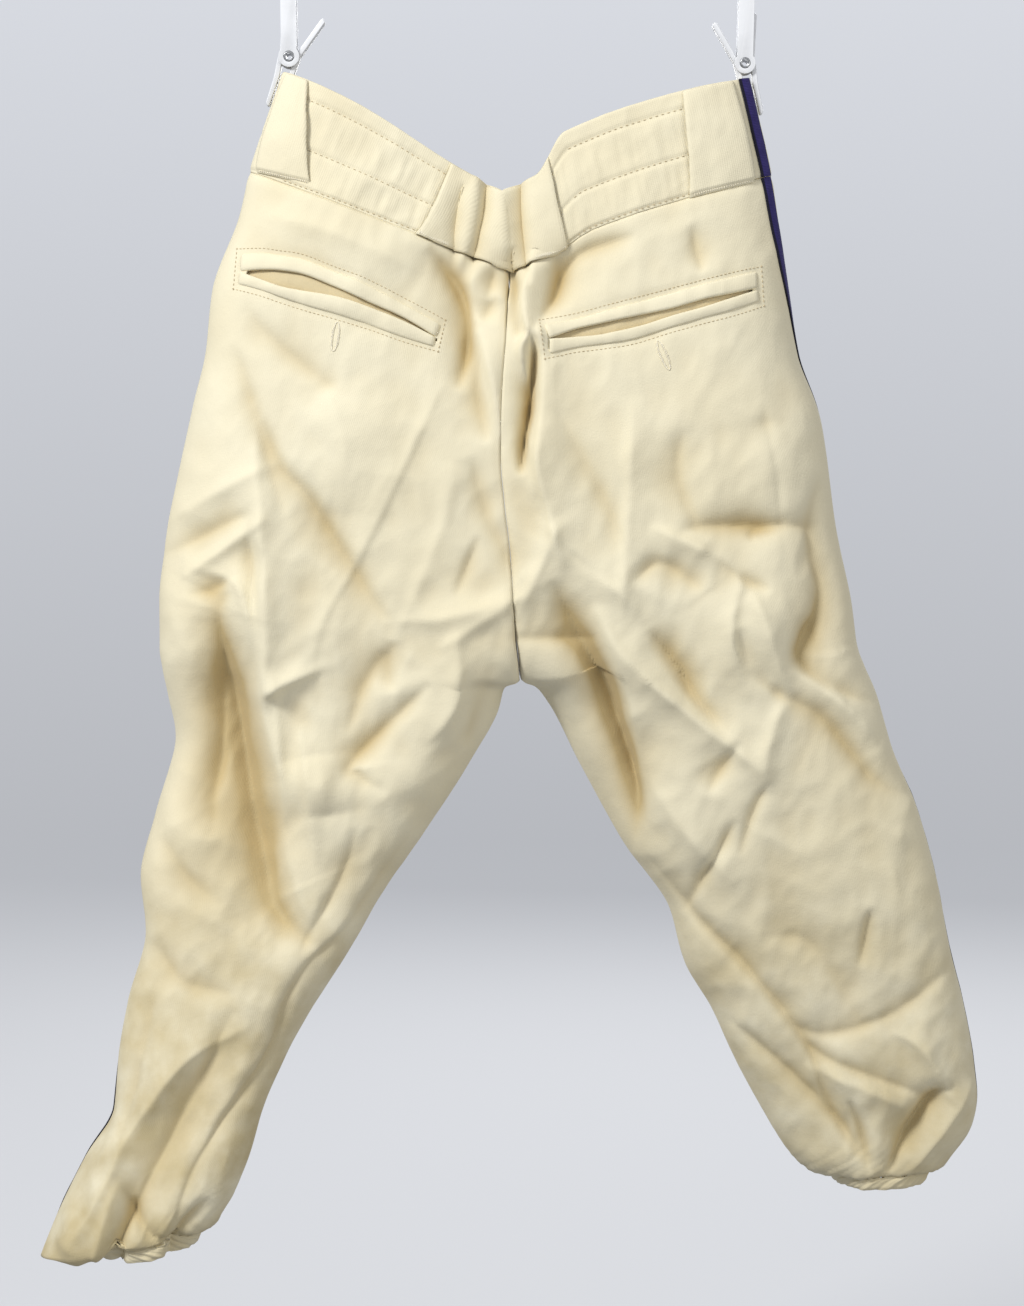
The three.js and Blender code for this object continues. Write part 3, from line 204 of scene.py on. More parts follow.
BACK_CREASES = creases({
    "left_under_pocket": (-3.5, 12, 9, -186, -324, -171, -342, -129, -375),
    "left_side_slope": (-5, 10, 8, -191, -368, -168, -444),
    "left_hip_swell": (5, 26, 30, -129, -385, -119, -419, -123, -454),
    "left_hip_slant": (4, 10, 9, -236, -465, -184, -437),
    "left_hip_dark": (-5, 7, 8, -247, -492, -203, -470, -187, -465),
    "left_hip_knot": (5, 5, 9, -224, -503, -185, -476),
    "left_hip_dimple": (-5, 8, 9, -225, -518, -203, -510),
    "left_hip_spur": (6, 6, 10, -222, -503, -199, -510, -187, -530, -176, -584),
    "left_thigh_rail": (6, 10, 14, -182, -407, -175, -490, -174, -578),
    "left_thigh_rail_groove": (-5, 9, 4, -186, -482, -182, -550, -183, -584),
    "left_thigh_trough": (-23, 26, 18, -205, -524, -209, -552, -177, -707, -166, -740, -144, -762),
    "left_thigh_shade": (-10, 22, 20, -211, -578, -218, -638, -214, -678),
    "left_long_trough": (-6, 12, 8, -174, -405, -165, -431, -143, -454, -98, -526, -84, -538),
    "left_long_line": (2.2, 14, 2.5, -62, -397, -103, -482, -135, -540, -141, -570),
    "left_lit_edge": (7, 12, 6, -138, -572, -170, -587, -176, -599, -168, -638),
    "left_inner_ridge": (4, 22, 12, -44, -439, -52, -474, -78, -536),
    "left_inner_nick": (-3, 3, 6, -29, -486, -39, -512),
    "left_seam_band": (-4.5, 11, 8, -29, -433, -20, -465, -6, -493),
    "left_fork_ridge": (4.5, 9, 14, -84, -538, -46, -536, -6, -524),
    "left_fork_ridge_lower": (4, 5, 14, -44, -552, -6, -528),
    "left_fork_curl": (6, 11, 9, -41, -554, -40, -578, -46, -601, -60, -620),
    "left_fork_dark": (-5, 9, 8, -18, -578, -30, -615),
    "left_fold_a": (-4, 8, 7, -86, -556, -90, -568, -88, -584),
    "left_fold_b": (-5, 10, 8, -94, -564, -106, -582, -116, -610),
    "left_check_mark": (-6, 9, 7, -72, -594, -114, -636, -110, -646, -94, -656),
    "left_puff": (6, 24, 26, -136, -639, -133, -664),
    "left_puff_edge": (5, 4, 14, -149, -627, -142, -687),
    "left_strip": (5, 7, 6, -168, -592, -163, -658),
    "left_knee_fold": (-4, 5, 9, -114, -690, -121, -716, -144, -758),
    "left_knee_ridge": (4, 9, 12, -163, -688, -157, -713, -142, -752),
    "left_inseam_line": (-3, 3, 7, -75, -690, -115, -750, -144, -777, -161, -807, -170, -839, -207,
        -891, -229, -932, -242, -980),
    "left_calf_ridge": (7, 14, 7, -194, -824, -228, -843, -256, -878, -271, -902, -288, -939, -307, -971),
    "left_calf_band": (-10, 14, 20, -211, -837, -263, -937),
    "left_calf_hollow": (-5, 12, 16, -248, -696, -231, -718, -210, -733),
    "left_calf_shade": (-5, 12, 16, -253, -769, -232, -790, -202, -796),
    "left_calf_side": (-4, 9, 8, -257, -803, -270, -874),
    "left_hem_fold_a": (-7, 4, 9, -273, -930, -254, -962, -239, -969),
    "left_hem_fold_b": (-7, 6, 4, -269, -947, -280, -990),
    "left_hem_gather_a": (-7, 5, 5, -218, -943, -231, -960, -240, -982),
    "left_hem_gather_b": (5, 6, 8, -277, -932, -291, -975),
    "left_hem_puff": (4, 14, 14, -319, -967, -302, -975),
    "left_yoke_swell": (4, 14, 20, -170, -258, -129, -269, -80, -290),
    "centre_left_valley": (-12, 11, 8, -56, -283, -40, -304, -33, -324, -33, -347, -39, -371),
    "centre_left_ridge": (6.5, 5, 12, -31, -290, -29, -327, -16, -377, -11, -407),
    "centre_left_shade": (-5, 9, 6, -25, -347, -27, -375, -22, -406),
    "centre_hollow_a": (-5, 8, 7, -15, -295, -18, -309),
    "centre_hollow_b": (-4.5, 8, 7, -15, -315, -21, -326),
    "centre_right_valley": (-7, 8, 3.5, -3, -289, 2, -328),
    "centre_flap": (8, 3, 14, 12, -287, 5, -308, 4, -324, 8, -339, 3, -352, 9, -377, 5, -390),
    "centre_flap_valley": (-7, 8, 10, 27, -287, 29, -302, 23, -319, 14, -333),
    "centre_sweep": (-5.5, 6, 10, 75, -273, 45, -282, 29, -300, 25, -316),
    "centre_black": (-13, 4, 4, 9, -341, 12, -359, 5, -419),
    "centre_black_wall": (6, 4, 24, 16, -335, 18, -371, 13, -435),
    "centre_lower_edge": (6, 4, 16, 9, -411, 26, -478),
    "right_seat_ridge": (5, 12, 8, 26, -478, 73, -520, 85, -536),
    "right_seat_dark": (-4, 14, 6, 35, -405, 67, -466, 75, -494),
    "right_seat_rail": (4, 6, 18, 80, -411, 75, -510),
    "right_seat_nick": (-3.5, 9, 7, 116, -411, 112, -435, 124, -468),
    "right_hip_level": (-6, 9, 8, 115, -478, 134, -472, 199, -472),
    "right_hip_check": (-3, 4, 4, 164, -482, 168, -476, 181, -475),
    "right_hip_short": (-5.5, 9, 6, 136, -490, 156, -508, 173, -515),
    "right_fold_rim": (6, 14, 7, 105, -478, 146, -498, 156, -515),
    "right_fold_rim_lower": (6, 12, 6, 156, -515, 150, -538, 153, -559, 167, -579, 182, -593),
    "right_pocket_dark": (-5, 9, 9, 83, -510, 101, -498, 124, -513),
    "right_node_slant": (-4, 5, 8, 28, -480, 45, -496, 65, -510),
    "right_node_edge": (5, 8, 10, 26, -479, 7, -522),
    "right_thigh_trough": (-20, 19, 15, 31, -524, 55, -573, 73, -641, 81, -693),
    "right_thigh_lip": (5, 4, 14, 59, -541, 79, -597, 85, -637),
    "right_long_ridge": (7, 10, 10, 63, -538, 81, -569, 153, -629),
    "right_inner_trough": (-8, 8, 9, 97, -550, 113, -571, 125, -593, 145, -615),
    "right_outer_trough": (-6, 6, 9, 155, -550, 162, -573, 184, -591),
    "right_puff_a": (6, 12, 12, 168, -527, 186, -575),
    "right_side_trough": (-10, 9, 22, 215, -440, 208, -462, 211, -490, 218, -513, 214, -536, 202, -553,
        200, -567, 218, -583, 250, -595),
    "right_side_swell": (5, 18, 18, 176, -413, 181, -454),
    "right_knee_trough": (-8, 13, 12, 186, -593, 216, -607, 257, -651, 276, -663),
    "right_knee_ridge": (5, 9, 10, 198, -577, 224, -593, 250, -619),
    "right_knee_dark": (-4, 5, 4, 176, -656, 167, -674, 160, -699),
    "right_knee_dark_low": (-4, 5, 4, 149, -691, 126, -734),
    "right_knee_spot": (-4, 8, 4, 153, -630, 139, -653),
    "right_knee_rail": (4.5, 8, 9, 186, -599, 175, -633, 177, -655),
    "right_fork_dark": (-4, 8, 8, 5, -551, 43, -551),
    "right_loop_fold_b": (-3.5, 6, 6, 123, -269, 128, -289),
    "right_side_line_a": (-2.5, 6, 6, 175, -404, 184, -462),
    "right_knee_slope": (4, 12, 18, 101, -664, 129, -699, 150, -720),
    "right_calf_a": (-5, 3, 9, 99, -716, 128, -754, 166, -792, 209, -848, 224, -891, 243, -924),
    "right_calf_b": (-6, 5, 9, 168, -842, 222, -894, 241, -916, 250, -932),
    "right_calf_c": (-5, 14, 18, 182, -767, 211, -772, 242, -821),
    "right_calf_d": (-5, 7, 12, 199, -832, 224, -838, 273, -821, 310, -792),
    "right_calf_e": (-4, 4, 5, 251, -751, 247, -778),
    "right_hem_swell": (6, 12, 14, 216, -865, 249, -876, 278, -891),
    "right_hem_swell_low": (-6, 6, 8, 211, -848, 233, -861, 284, -880),
    "right_hem_black": (-14, 10, 8, 313, -878, 301, -888, 276, -930),
    "right_hem_dark": (4.5, 5, 9, 273, -838, 290, -848, 311, -882),
    "right_hem_gather_a": (-5, 4, 4, 241, -891, 249, -911, 254, -934),
    "right_hem_gather_c": (5, 7, 7, 323, -886, 295, -928),
    # the band's fold between the pegs
    "pleat_left": (-8, 9, 5, -19, -222, -21, -240, -23, -258, -31, -292),
    "pleat_left_narrow": (-4, 4, 4, -38, -240, -42, -262, -43, -286),
    "pleat_left_ridge": (4, 6, 6, -29, -236, -32, -262, -38, -288),
    "pleat_right": (-8, 9, 3, 3, -222, 4, -245, 6, -270, 8, -298),
    "pleat_middle": (2.5, 6, 6, -9, -230, -10, -255, -9, -280),
})  # fmt: skip
FRONT_CREASES = creases({
    "fly_swell": (4, 16, 20, -88, -340, -80, -410, -70, -480),
    "left_whisker_a": (-5, 7, 10, -14, -540, -70, -508, -138, -492),
    "left_whisker_b": (-5.5, 7, 9, -22, -566, -92, -556, -160, -572),
    "left_whisker_ridge": (4, 10, 8, -26, -552, -84, -530, -142, -526),
    "left_hip_drape": (-5, 10, 12, -196, -360, -186, -430, -198, -505),
    "left_thigh_trough": (-11, 8, 22, -202, -505, -186, -580, -166, -662),
    "left_thigh_rail": (6, 8, 12, -150, -560, -140, -630, -146, -700),
    "left_knee_slant": (-7, 8, 10, -60, -640, -120, -682, -196, -706),
    "left_knee_slant_low": (-7.5, 9, 11, -92, -702, -152, -748, -232, -764),
    "left_knee_ridge": (5, 9, 10, -84, -676, -140, -716, -206, -736),
    "left_calf_slant": (-6, 8, 9, -148, -792, -186, -856, -246, -900),
    "left_calf_rail": (5, 9, 11, -190, -800, -222, -862, -262, -930),
    "left_hem_fold": (-7, 6, 6, -240, -920, -250, -944, -252, -968),
    "left_hem_fold_outer": (-6, 5, 7, -290, -930, -286, -952, -280, -974),
    "right_whisker_a": (-5, 8, 9, 14, -543, 72, -514, 132, -500),
    "right_whisker_b": (-6, 8, 8, 28, -576, 96, -572, 168, -592),
    "right_whisker_ridge": (4, 9, 9, 30, -560, 90, -544, 150, -548),
    "right_hip_drape": (-5, 11, 9, 176, -372, 170, -440, 186, -520),
    "right_thigh_trough": (-11, 20, 8, 96, -560, 110, -630, 134, -702),
    "right_thigh_rail": (6, 12, 8, 150, -570, 160, -640, 182, -712),
    "right_knee_slant": (-7, 8, 10, 82, -650, 150, -700, 226, -716),
    "right_knee_slant_low": (-7, 9, 11, 118, -716, 190, -766, 278, -780),
    "right_knee_ridge": (5, 9, 10, 104, -690, 170, -736, 250, -752),
    "right_calf_slant": (-6, 8, 9, 160, -812, 212, -868, 282, -886),
    "right_calf_rail": (5, 9, 11, 216, -812, 246, -866, 296, -906),
    "right_hem_fold": (-6, 5, 6, 252, -902, 258, -924, 262, -944),
    "right_hem_fold_outer": (-6, 6, 5, 296, -900, 290, -922, 286, -940),
    "seat_sag_left": (-4, 10, 12, -60, -330, -64, -420, -52, -500),
    "seat_sag_right": (-4, 12, 10, 56, -336, 66, -420, 54, -500),
})  # fmt: skip
FORK = (3.0, -587.0)  # where the legs part: X and Z
FOLD_FADE = 1.6  # how steeply the folds rise from the garment's outer edges
FORK_CALM = (8.0, 54.0)  # distances from the fork where the folds start, and have their full height
CENTRE_Z, CENTRE_X = (-584, -498, -423, -354, -294, -239), (2, -4, -11, -8, -4, -10)  # the centre back seam
GUESS_Z, GUESS_V = (-990, -588, -300, -150), (22, 9, 1.5, 0)  # about which v a height has


def smooth_curve(values: Sequence[float]) -> Callable[[Array], Array]:
    """Makes a smooth curve through values at 0, 1, 2..., which never swings past them.

    Args:
        values: The values, in order.

    Returns:
        A function of a place along the values.
    """
    knots = np.asarray(values, float)
    steps = np.diff(knots)
    slopes = np.empty_like(knots)
    slopes[0], slopes[-1] = steps[0], steps[-1]
    before, after = steps[:-1], steps[1:]
    agree = before * after > 0
    total = np.where(agree, before + after, 1.0)
    slopes[1:-1] = np.where(agree, 2 * before * after / total, 0.0)

    def curve(place: Array) -> Array:
        """The curve's value at each place."""
        place = np.asarray(place, float)
        i = np.clip(np.floor(place).astype(int), 0, len(knots) - 2)
        t = place - i
        t2, t3 = t * t, t * t * t
        return (
            (2 * t3 - 3 * t2 + 1) * knots[i]
            + (t3 - 2 * t2 + t) * slopes[i]
            + (3 * t2 - 2 * t3) * knots[i + 1]
            + (t3 - t2) * slopes[i + 1]
        )

    return curve


def smoothstep(value: Array, low: Array, high: Array) -> Array:
    """A soft step from 0 at low to 1 at high."""
    t = np.clip((value - low) / (high - low), 0.0, 1.0)
    return t * t * (3 - 2 * t)


def lerp(low: Array | float, high: Array | float, share: Array | float) -> Array:
    """The value a share of the way from low to high."""
    return low + (np.asarray(high) - low) * share


def bell(distance: Array, width: float) -> Array:
    """A round bump: 1 at no distance, and nearly gone at two widths."""
    return np.exp(-((distance / width) ** 2))


def unit(vectors: Array) -> Array:
    """Vectors scaled to length 1."""
    return vectors / np.maximum(np.linalg.norm(vectors, axis=-1, keepdims=True), 1e-12)


class SoftNoise:
    """Smooth, seeded unevenness in the plane of the garment: the small dimples that no crease names."""

    CELLS = 64

    def __init__(
        self, seed: int, across: float, down: float, turn: float = 0.0, ridged: bool = False
    ) -> None:
        """Makes the lattice of slopes.

        Args:
            seed: Seed of the random slopes.
            across: Size of a cell in X.
            down: Size of a cell in Z.
            turn: How far the lattice is turned, in degrees.
            ridged: Whether it rises to narrow crests, as cloth does, and not to round hills.
        """
        aim = np.random.default_rng(seed).uniform(0, 2 * np.pi, (self.CELLS, self.CELLS))
        self.slope_x, self.slope_z = np.cos(aim), np.sin(aim)
        self.across, self.down = across, down
        self.cos, self.sin = math.cos(math.radians(turn)), math.sin(math.radians(turn))
        self.ridged = ridged

    def __call__(self, x: Array, z: Array) -> Array:
        """Values from about -1 to 1 at points of the plane."""
        u = (x * self.cos + z * self.sin) / self.across + 17.3
        v = (z * self.cos - x * self.sin) / self.down + 23.7
        i, j = np.floor(u).astype(int), np.floor(v).astype(int)
        s, t = u - i, v - j
        ease_s, ease_t = (k * k * k * (k * (6 * k - 15) + 10) for k in (s, t))
        n = self.CELLS

        def corner(di: int, dj: int) -> Array:
            """What one corner of the cell adds."""
            at = ((i + di) % n, (j + dj) % n)
            return self.slope_x[at] * (s - di) + self.slope_z[at] * (t - dj)

        low = corner(0, 0) * (1 - ease_s) + corner(1, 0) * ease_s
        high = corner(0, 1) * (1 - ease_s) + corner(1, 1) * ease_s
        value = 1.6 * (low * (1 - ease_t) + high * ease_t)
        return 0.5 - np.sqrt(value * value * 4 + 0.02) if self.ridged else value


class CreaseField:
    """The folds on one face of the garment, as a height over its plane."""

    PARTS = 7  # straight parts in each step of a crease's path
    CREST = 0.7  # rounding of a crease's crest
    TAIL = 0.3  # how much of its end steps a crease runs on, as it fades out
    REACH = 3.2  # how many widths away a crease is still felt
    FALL = 1.12  # shape of a crease's side: 1 is a tent, 2 a soft mound
    CALM = 0.6  # how much of the unevenness the hips have, against the legs

    def __init__(
        self, creases: dict[str, Crease], relief: float, noises: Sequence[tuple[float, SoftNoise]],
        grooves: dict[str, Crease] | None = None,
    ) -> None:  # fmt: skip
        """Smooths the creases' paths.

        Args:
            creases: The creases by name.
            relief: How much deeper than their own heights the creases are.
            noises: Heights, with the unevenness that each scales.
            grooves: Creases that keep their own heights.
        """
        self.noises = noises
        self.runs = []
        tail = self.TAIL
        deeper = [replace(crease, height=crease.height * relief) for crease in creases.values()]
        for crease in [*deeper, *(grooves or {}).values()]:
            path = np.array(crease.path, float)
            path[0] += (path[0] - path[1]) * tail
            path[-1] += (path[-1] - path[-2]) * tail
            places = np.linspace(0, len(path) - 1, (len(path) - 1) * self.PARTS + 1)
            self.runs.append((crease, np.column_stack([self.rounded(path[:, k], places) for k in (0, 1)])))

    @staticmethod
    def rounded(values: Array, places: Array) -> Array:
        """A Catmull-Rom curve through one coordinate of a path."""
        padded = np.concatenate([[2 * values[0] - values[1]], values, [2 * values[-1] - values[-2]]])
        i = np.clip(np.floor(places).astype(int), 0, len(values) - 2)
        t = places - i
        p0, p1, p2, p3 = padded[i], padded[i + 1], padded[i + 2], padded[i + 3]
        return p1 + 0.5 * t * (p2 - p0 + t * (2 * p0 - 5 * p1 + 4 * p2 - p3 + t * (3 * (p1 - p2) + p3 - p0)))

    def height(self, x: Array, z: Array) -> Array:
        """Height of the folds at points of the plane."""
        total = np.zeros_like(x)
        for crease, run in self.runs:
            reach = self.REACH * max(crease.minus, crease.plus)
            near = (
                (x > run[:, 0].min() - reach)
                & (x < run[:, 0].max() + reach)
                & (z > run[:, 1].min() - reach)
                & (z < run[:, 1].max() + reach)
            )
            if near.any():
                total[near] += self.one(crease, run, x[near], z[near])
        rumpled = lerp(self.CALM, 1, smoothstep(-z, 340.0, 540.0))
        for amount, noise in self.noises:
            total += amount * noise(x, z) * rumpled
        return total

    def one(self, crease: Crease, run: Array, x: Array, z: Array) -> Array:
        """Height of one crease at points near it."""
        start, step = run[:-1], np.diff(run, axis=0)
        length = np.linalg.norm(step, axis=1)
        offset_x, offset_z = x[:, None] - start[:, 0], z[:, None] - start[:, 1]
        along = np.clip((offset_x * step[:, 0] + offset_z * step[:, 1]) / length**2, 0, 1)
        away_x, away_z = offset_x - along * step[:, 0], offset_z - along * step[:, 1]
        distance = np.hypot(away_x, away_z)
        nearest = distance.argmin(axis=1)
        rows = np.arange(len(x))
        d = distance[rows, nearest]
        side = step[nearest, 0] * away_z[rows, nearest] - step[nearest, 1] * away_x[rows, nearest]
        travelled = np.concatenate([[0], np.cumsum(length)])
        share = (travelled[nearest] + along[rows, nearest] * length[nearest]) / travelled[-1]
        taper = 1 - np.abs(2 * share - 1) ** 2.2
        width = np.where(side > 0, crease.plus, crease.minus) * (0.45 + 0.55 * taper)
        soft = np.sqrt(d * d + self.CREST**2) - self.CREST
        profile = np.exp(-((soft / width) ** self.FALL))
        return crease.height * profile * taper


# ---------------------------------------------------------------- the form
class SideForm:
    """One side of the garment as a smooth form through its sections, before it is folded."""

    def __init__(self, hand: Hand, sections: dict[str, tuple]) -> None:
        """Makes a curve for each column of the table.

        Args:
            hand: Which side it is.
            sections: The side's table of sections.
        """
        self.hand = hand
        short = len(COLUMNS) - 3
        rows = [row[:short] + (row[short:] or TAIL[hand]) for row in sections.values()]
        self.curves = {name: smooth_curve([row[i] for row in rows]) for i, name in enumerate(COLUMNS)}

    def __getitem__(self, column: str) -> Callable[[Array], Array]:
        """A column's curve."""
        return self.curves[column]

    def share(self, v: Array, angle: Array) -> Array:
        """Share of the way from a section's outer end to its inner end."""
        return (1 - np.cos(np.abs(angle))) / (1 - np.cos(np.radians(self["wrap"](v))))

    def angle(self, v: Array, share: Array) -> Array:
        """The angle at which a share of the way is reached."""
        return np.arccos(1 - share * (1 - np.cos(np.radians(self["wrap"](v)))))

    def points(self, v: Array, angle: Array) -> Array:
        """Points of the smooth form. Angles above 0 are on the back, those below 0 on the front."""
        v, angle = np.broadcast_arrays(np.asarray(v, float), np.asarray(angle, float))
        front = angle < 0
        turn = np.abs(angle)
        t = self.share(v, angle)
        blunt = self["blunt"](v)
        stand = (np.sin(turn) + blunt * np.sin(3 * turn)) / (1 - blunt)
        climb = np.sin(np.pi / 2 * np.minimum(1, t / self["crest"](v)))
        fallen = smoothstep(t, self["crest"](v), self["fall"](v))
        rise = self["bow"](v) * climb * (1 - fallen) - np.where(front, self["drop"](v) * t, 0)
        outer_x, outer_z = self["outerX"](v), self["outerZ"](v)
        x = outer_x + (self["innerX"](v) - outer_x) * t
        y = self["mid"](v) + np.where(front, self["front"](v), -self["back"](v)) * stand
        z = outer_z + (self["innerZ"](v) - outer_z) * t + rise
        return np.stack([x, y, z], axis=-1)


class Garment:
    """The folded form of both sides, which every sewn piece takes its points from."""

    STEP = 0.004

    def __init__(self) -> None:
        """Makes the two sides and the creases of both faces."""
        self.sides = {
            Hand.LEFT: SideForm(Hand.LEFT, LEFT_SECTIONS),
            Hand.RIGHT: SideForm(Hand.RIGHT, RIGHT_SECTIONS),
        }
        dimples = [
            (2.0, SoftNoise(3, 60, 95, 12)),
            (2.0, SoftNoise(15, 64, 100, -24, ridged=True)),
            (1.3, SoftNoise(26, 34, 52, 31, ridged=True)),
            (0.65, SoftNoise(41, 17, 29, -20, ridged=True)),
            (0.4, SoftNoise(8, 15, 22, -10)),
        ]
        self.folds = {
            Face.BACK: CreaseField(BACK_CREASES, 1.35, dimples, pocket_grooves()),
            Face.FRONT: CreaseField(FRONT_CREASES, 1.3, dimples),
        }

    def normals(self, surface: Callable[[Array, Array], Array], hand: Hand, v: Array, angle: Array) -> Array:
        """Unit normals of a surface function of v and angle, pointing out of the garment."""
        h = self.STEP
        down = surface(v + h, angle) - surface(v - h, angle)
        round_ = surface(v, angle + h) - surface(v, angle - h)
        normal = unit(np.cross(down, round_))
        return normal if hand is Hand.LEFT else -normal

    def fold_height(self, points: Array, angle: Array) -> Array:
        """Height of the folds at points of the form. They fade out at the garment's outer edges."""
        back = self.folds[Face.BACK].height(points[..., 0], points[..., 2])
        front = self.folds[Face.FRONT].height(points[..., 0], points[..., 2])
        fade = np.minimum(1, np.abs(np.sin(angle)) * FOLD_FADE)
        from_fork = np.hypot(points[..., 0] - FORK[0], (points[..., 2] - FORK[1]) * 1.2)
        return np.where(angle > 0, back, front) * fade * smoothstep(from_fork, *FORK_CALM)

    def points(self, hand: Hand, v: Array, angle: Array) -> Array:
        """Points of the folded form."""
        side = self.sides[hand]
        v, angle = np.broadcast_arrays(np.asarray(v, float), np.asarray(angle, float))
        smooth = side.points(v, angle)
        height = self.fold_height(smooth, angle)
        return smooth + self.normals(side.points, hand, v, angle) * height[..., None]

    def place(self, hand: Hand, v: Array, angle: Array) -> tuple[Array, Array]:
        """Points of the folded form with their normals."""
        v, angle = np.broadcast_arrays(np.asarray(v, float), np.asarray(angle, float))
        points = self.points(hand, v, angle)
        return points, self.normals(lambda a, b: self.points(hand, a, b), hand, v, angle)

    def find(self, x: Array, z: Array, face: Face = Face.BACK) -> tuple[Array, Array, Array]:
        """Finds where points of the plane lie on one face.

        Args:
            x: Their X.
            z: Their Z.
            face: The face that they lie on.

        Returns:
            Which of them are on the left side, their v and their angle.
        """
        left = x < np.interp(z, CENTRE_Z, CENTRE_X)
        v_all, angle_all = np.zeros_like(x), np.zeros_like(x)
        for hand in Hand:
            mine = left if hand is Hand.LEFT else ~left
            if not mine.any():
                continue
            side = self.sides[hand]
            goal = np.stack([x[mine], z[mine]], axis=-1)
            v, t = np.interp(goal[:, 1], GUESS_Z, GUESS_V), np.full(len(goal), 0.5)

            def ends(v: Array, t: Array) -> Array:
                """X and Z of the smooth form."""
                return side.points(v, face.value * side.angle(v, np.clip(t, 0, 1)))[:, [0, 2]]

            for _ in range(24):
                error = ends(v, t) - goal
                dv = (ends(v + 1e-3, t) - ends(v - 1e-3, t)) / 2e-3
                dt = (ends(v, t + 1e-3) - ends(v, t - 1e-3)) / 2e-3
                det = dv[:, 0] * dt[:, 1] - dt[:, 0] * dv[:, 1]
                det = np.where(np.abs(det) < 1e-6, 1e-6, det)
                v = v - np.clip((error[:, 0] * dt[:, 1] - dt[:, 0] * error[:, 1]) / det, -1.5, 1.5)
                t = t - np.clip((dv[:, 0] * error[:, 1] - error[:, 0] * dv[:, 1]) / det, -0.3, 0.3)
                v, t = np.clip(v, 0, AT["hemEnd"]), np.clip(t, 0.004, 0.996)
            v_all[mine], angle_all[mine] = v, face.value * side.angle(v, t)
        return left, v_all, angle_all

    def at(self, x: Array, z: Array, face: Face = Face.BACK) -> tuple[Array, Array]:
        """Points and normals of the folded form over points of the plane."""
        x, z = np.broadcast_arrays(np.asarray(x, float), np.asarray(z, float))
        shape = x.shape
        left, v, angle = self.find(x.ravel(), z.ravel(), face)
        points, normals = np.zeros((x.size, 3)), np.zeros((x.size, 3))
        for hand in Hand:
            mine = left if hand is Hand.LEFT else ~left
            if mine.any():
                points[mine], normals[mine] = self.place(hand, v[mine], angle[mine])
        return points.reshape(*shape, 3), normals.reshape(*shape, 3)


# ---------------------------------------------------------------- pocket outlines
@dataclass(frozen=True)
class PocketCut:
    """A back pocket's curves, each from its side end to its centre end, as (x, z) points."""

    top: Pairs
    upper_lip: Pairs
    lower_lip: Pairs
    bottom: Pairs
    buttonhole: Pairs

    @property
    def stitch_top(self) -> Pairs:
        """The row of stitches above the pocket."""
        return self.beside(self.top, 3.2)

    @property
    def stitch_bottom(self) -> Pairs:
        """The row of stitches below the pocket."""
        return self.beside(self.bottom, -3.2)

    @staticmethod
    def beside(path: Pairs, rise: float) -> Pairs:
        """A path moved up, and a little longer at both ends."""
        middle = (path[0][0] + path[-1][0]) / 2
        return tuple((middle + (x - middle) * 1.04, z + rise) for x, z in path)

    def curve(self, name: str, share: Array) -> tuple[Array, Array]:
        """X and Z along one of the curves, at shares of the way along it."""
        path = np.array(getattr(self, name), float)
        places = np.asarray(share, float) * (len(path) - 1)
        return CreaseField.rounded(path[:, 0], places), CreaseField.rounded(path[:, 1], places)


POCKETS = {
    Hand.LEFT: PocketCut(
        top=((-193, -282), (-176, -282), (-163, -284), (-147, -287), (-125, -296), (-103, -305),
             (-78, -318), (-52, -332)),
        upper_lip=((-193, -295), (-176, -294), (-163, -295), (-147, -298), (-125, -307), (-103, -317),
                   (-78, -328), (-56, -341)),
        lower_lip=((-193, -295), (-177, -301), (-163, -306), (-148, -309), (-125, -313), (-103, -320),
                   (-78, -330), (-56, -341)),
        bottom=((-195, -304), (-177, -309), (-163, -314), (-148, -319), (-125, -326), (-103, -333),
                (-81, -341), (-57, -348)),
        buttonhole=((-124, -331), (-127, -351)),
    ),
    Hand.RIGHT: PocketCut(
        top=((168, -295), (150, -299), (131, -304), (109, -310), (87, -316), (58, -324), (43, -328),
             (19, -333)),
        upper_lip=((168, -307), (150, -311), (131, -315), (110, -321), (87, -326), (59, -332), (41, -336),
                   (23, -343)),
        lower_lip=((168, -308), (149, -314), (131, -320), (109, -326), (87, -333), (61, -339), (43, -341),
                   (23, -343)),
        bottom=((170, -316), (150, -323), (128, -329), (104, -336), (82, -343), (65, -346), (43, -349),
                (23, -354)),
        buttonhole=((98, -344), (106, -364)),
    ),
}  # fmt: skip


def pocket_grooves() -> dict[str, Crease]:
    """The grooves that a pocket's seams and stitch rows pull into the cloth."""
    grooves = {}
    for hand, cut in POCKETS.items():
        grooves[f"{hand.value}_top_seam"] = Crease(-0.9, 2, 2, cut.top)
        grooves[f"{hand.value}_bottom_seam"] = Crease(-0.9, 2, 2, cut.bottom)
        grooves[f"{hand.value}_top_row"] = Crease(-0.6, 1.6, 1.6, cut.stitch_top)
        grooves[f"{hand.value}_bottom_row"] = Crease(-0.6, 1.6, 1.6, cut.stitch_bottom)
        ends = [(cut.top[k], cut.bottom[k]) for k in (0, -1)]
        for name, (high, low) in zip(("side", "centre"), ends):
            grooves[f"{hand.value}_{name}_end"] = Crease(-1.0, 1.8, 1.8, (high, low))
    return grooves


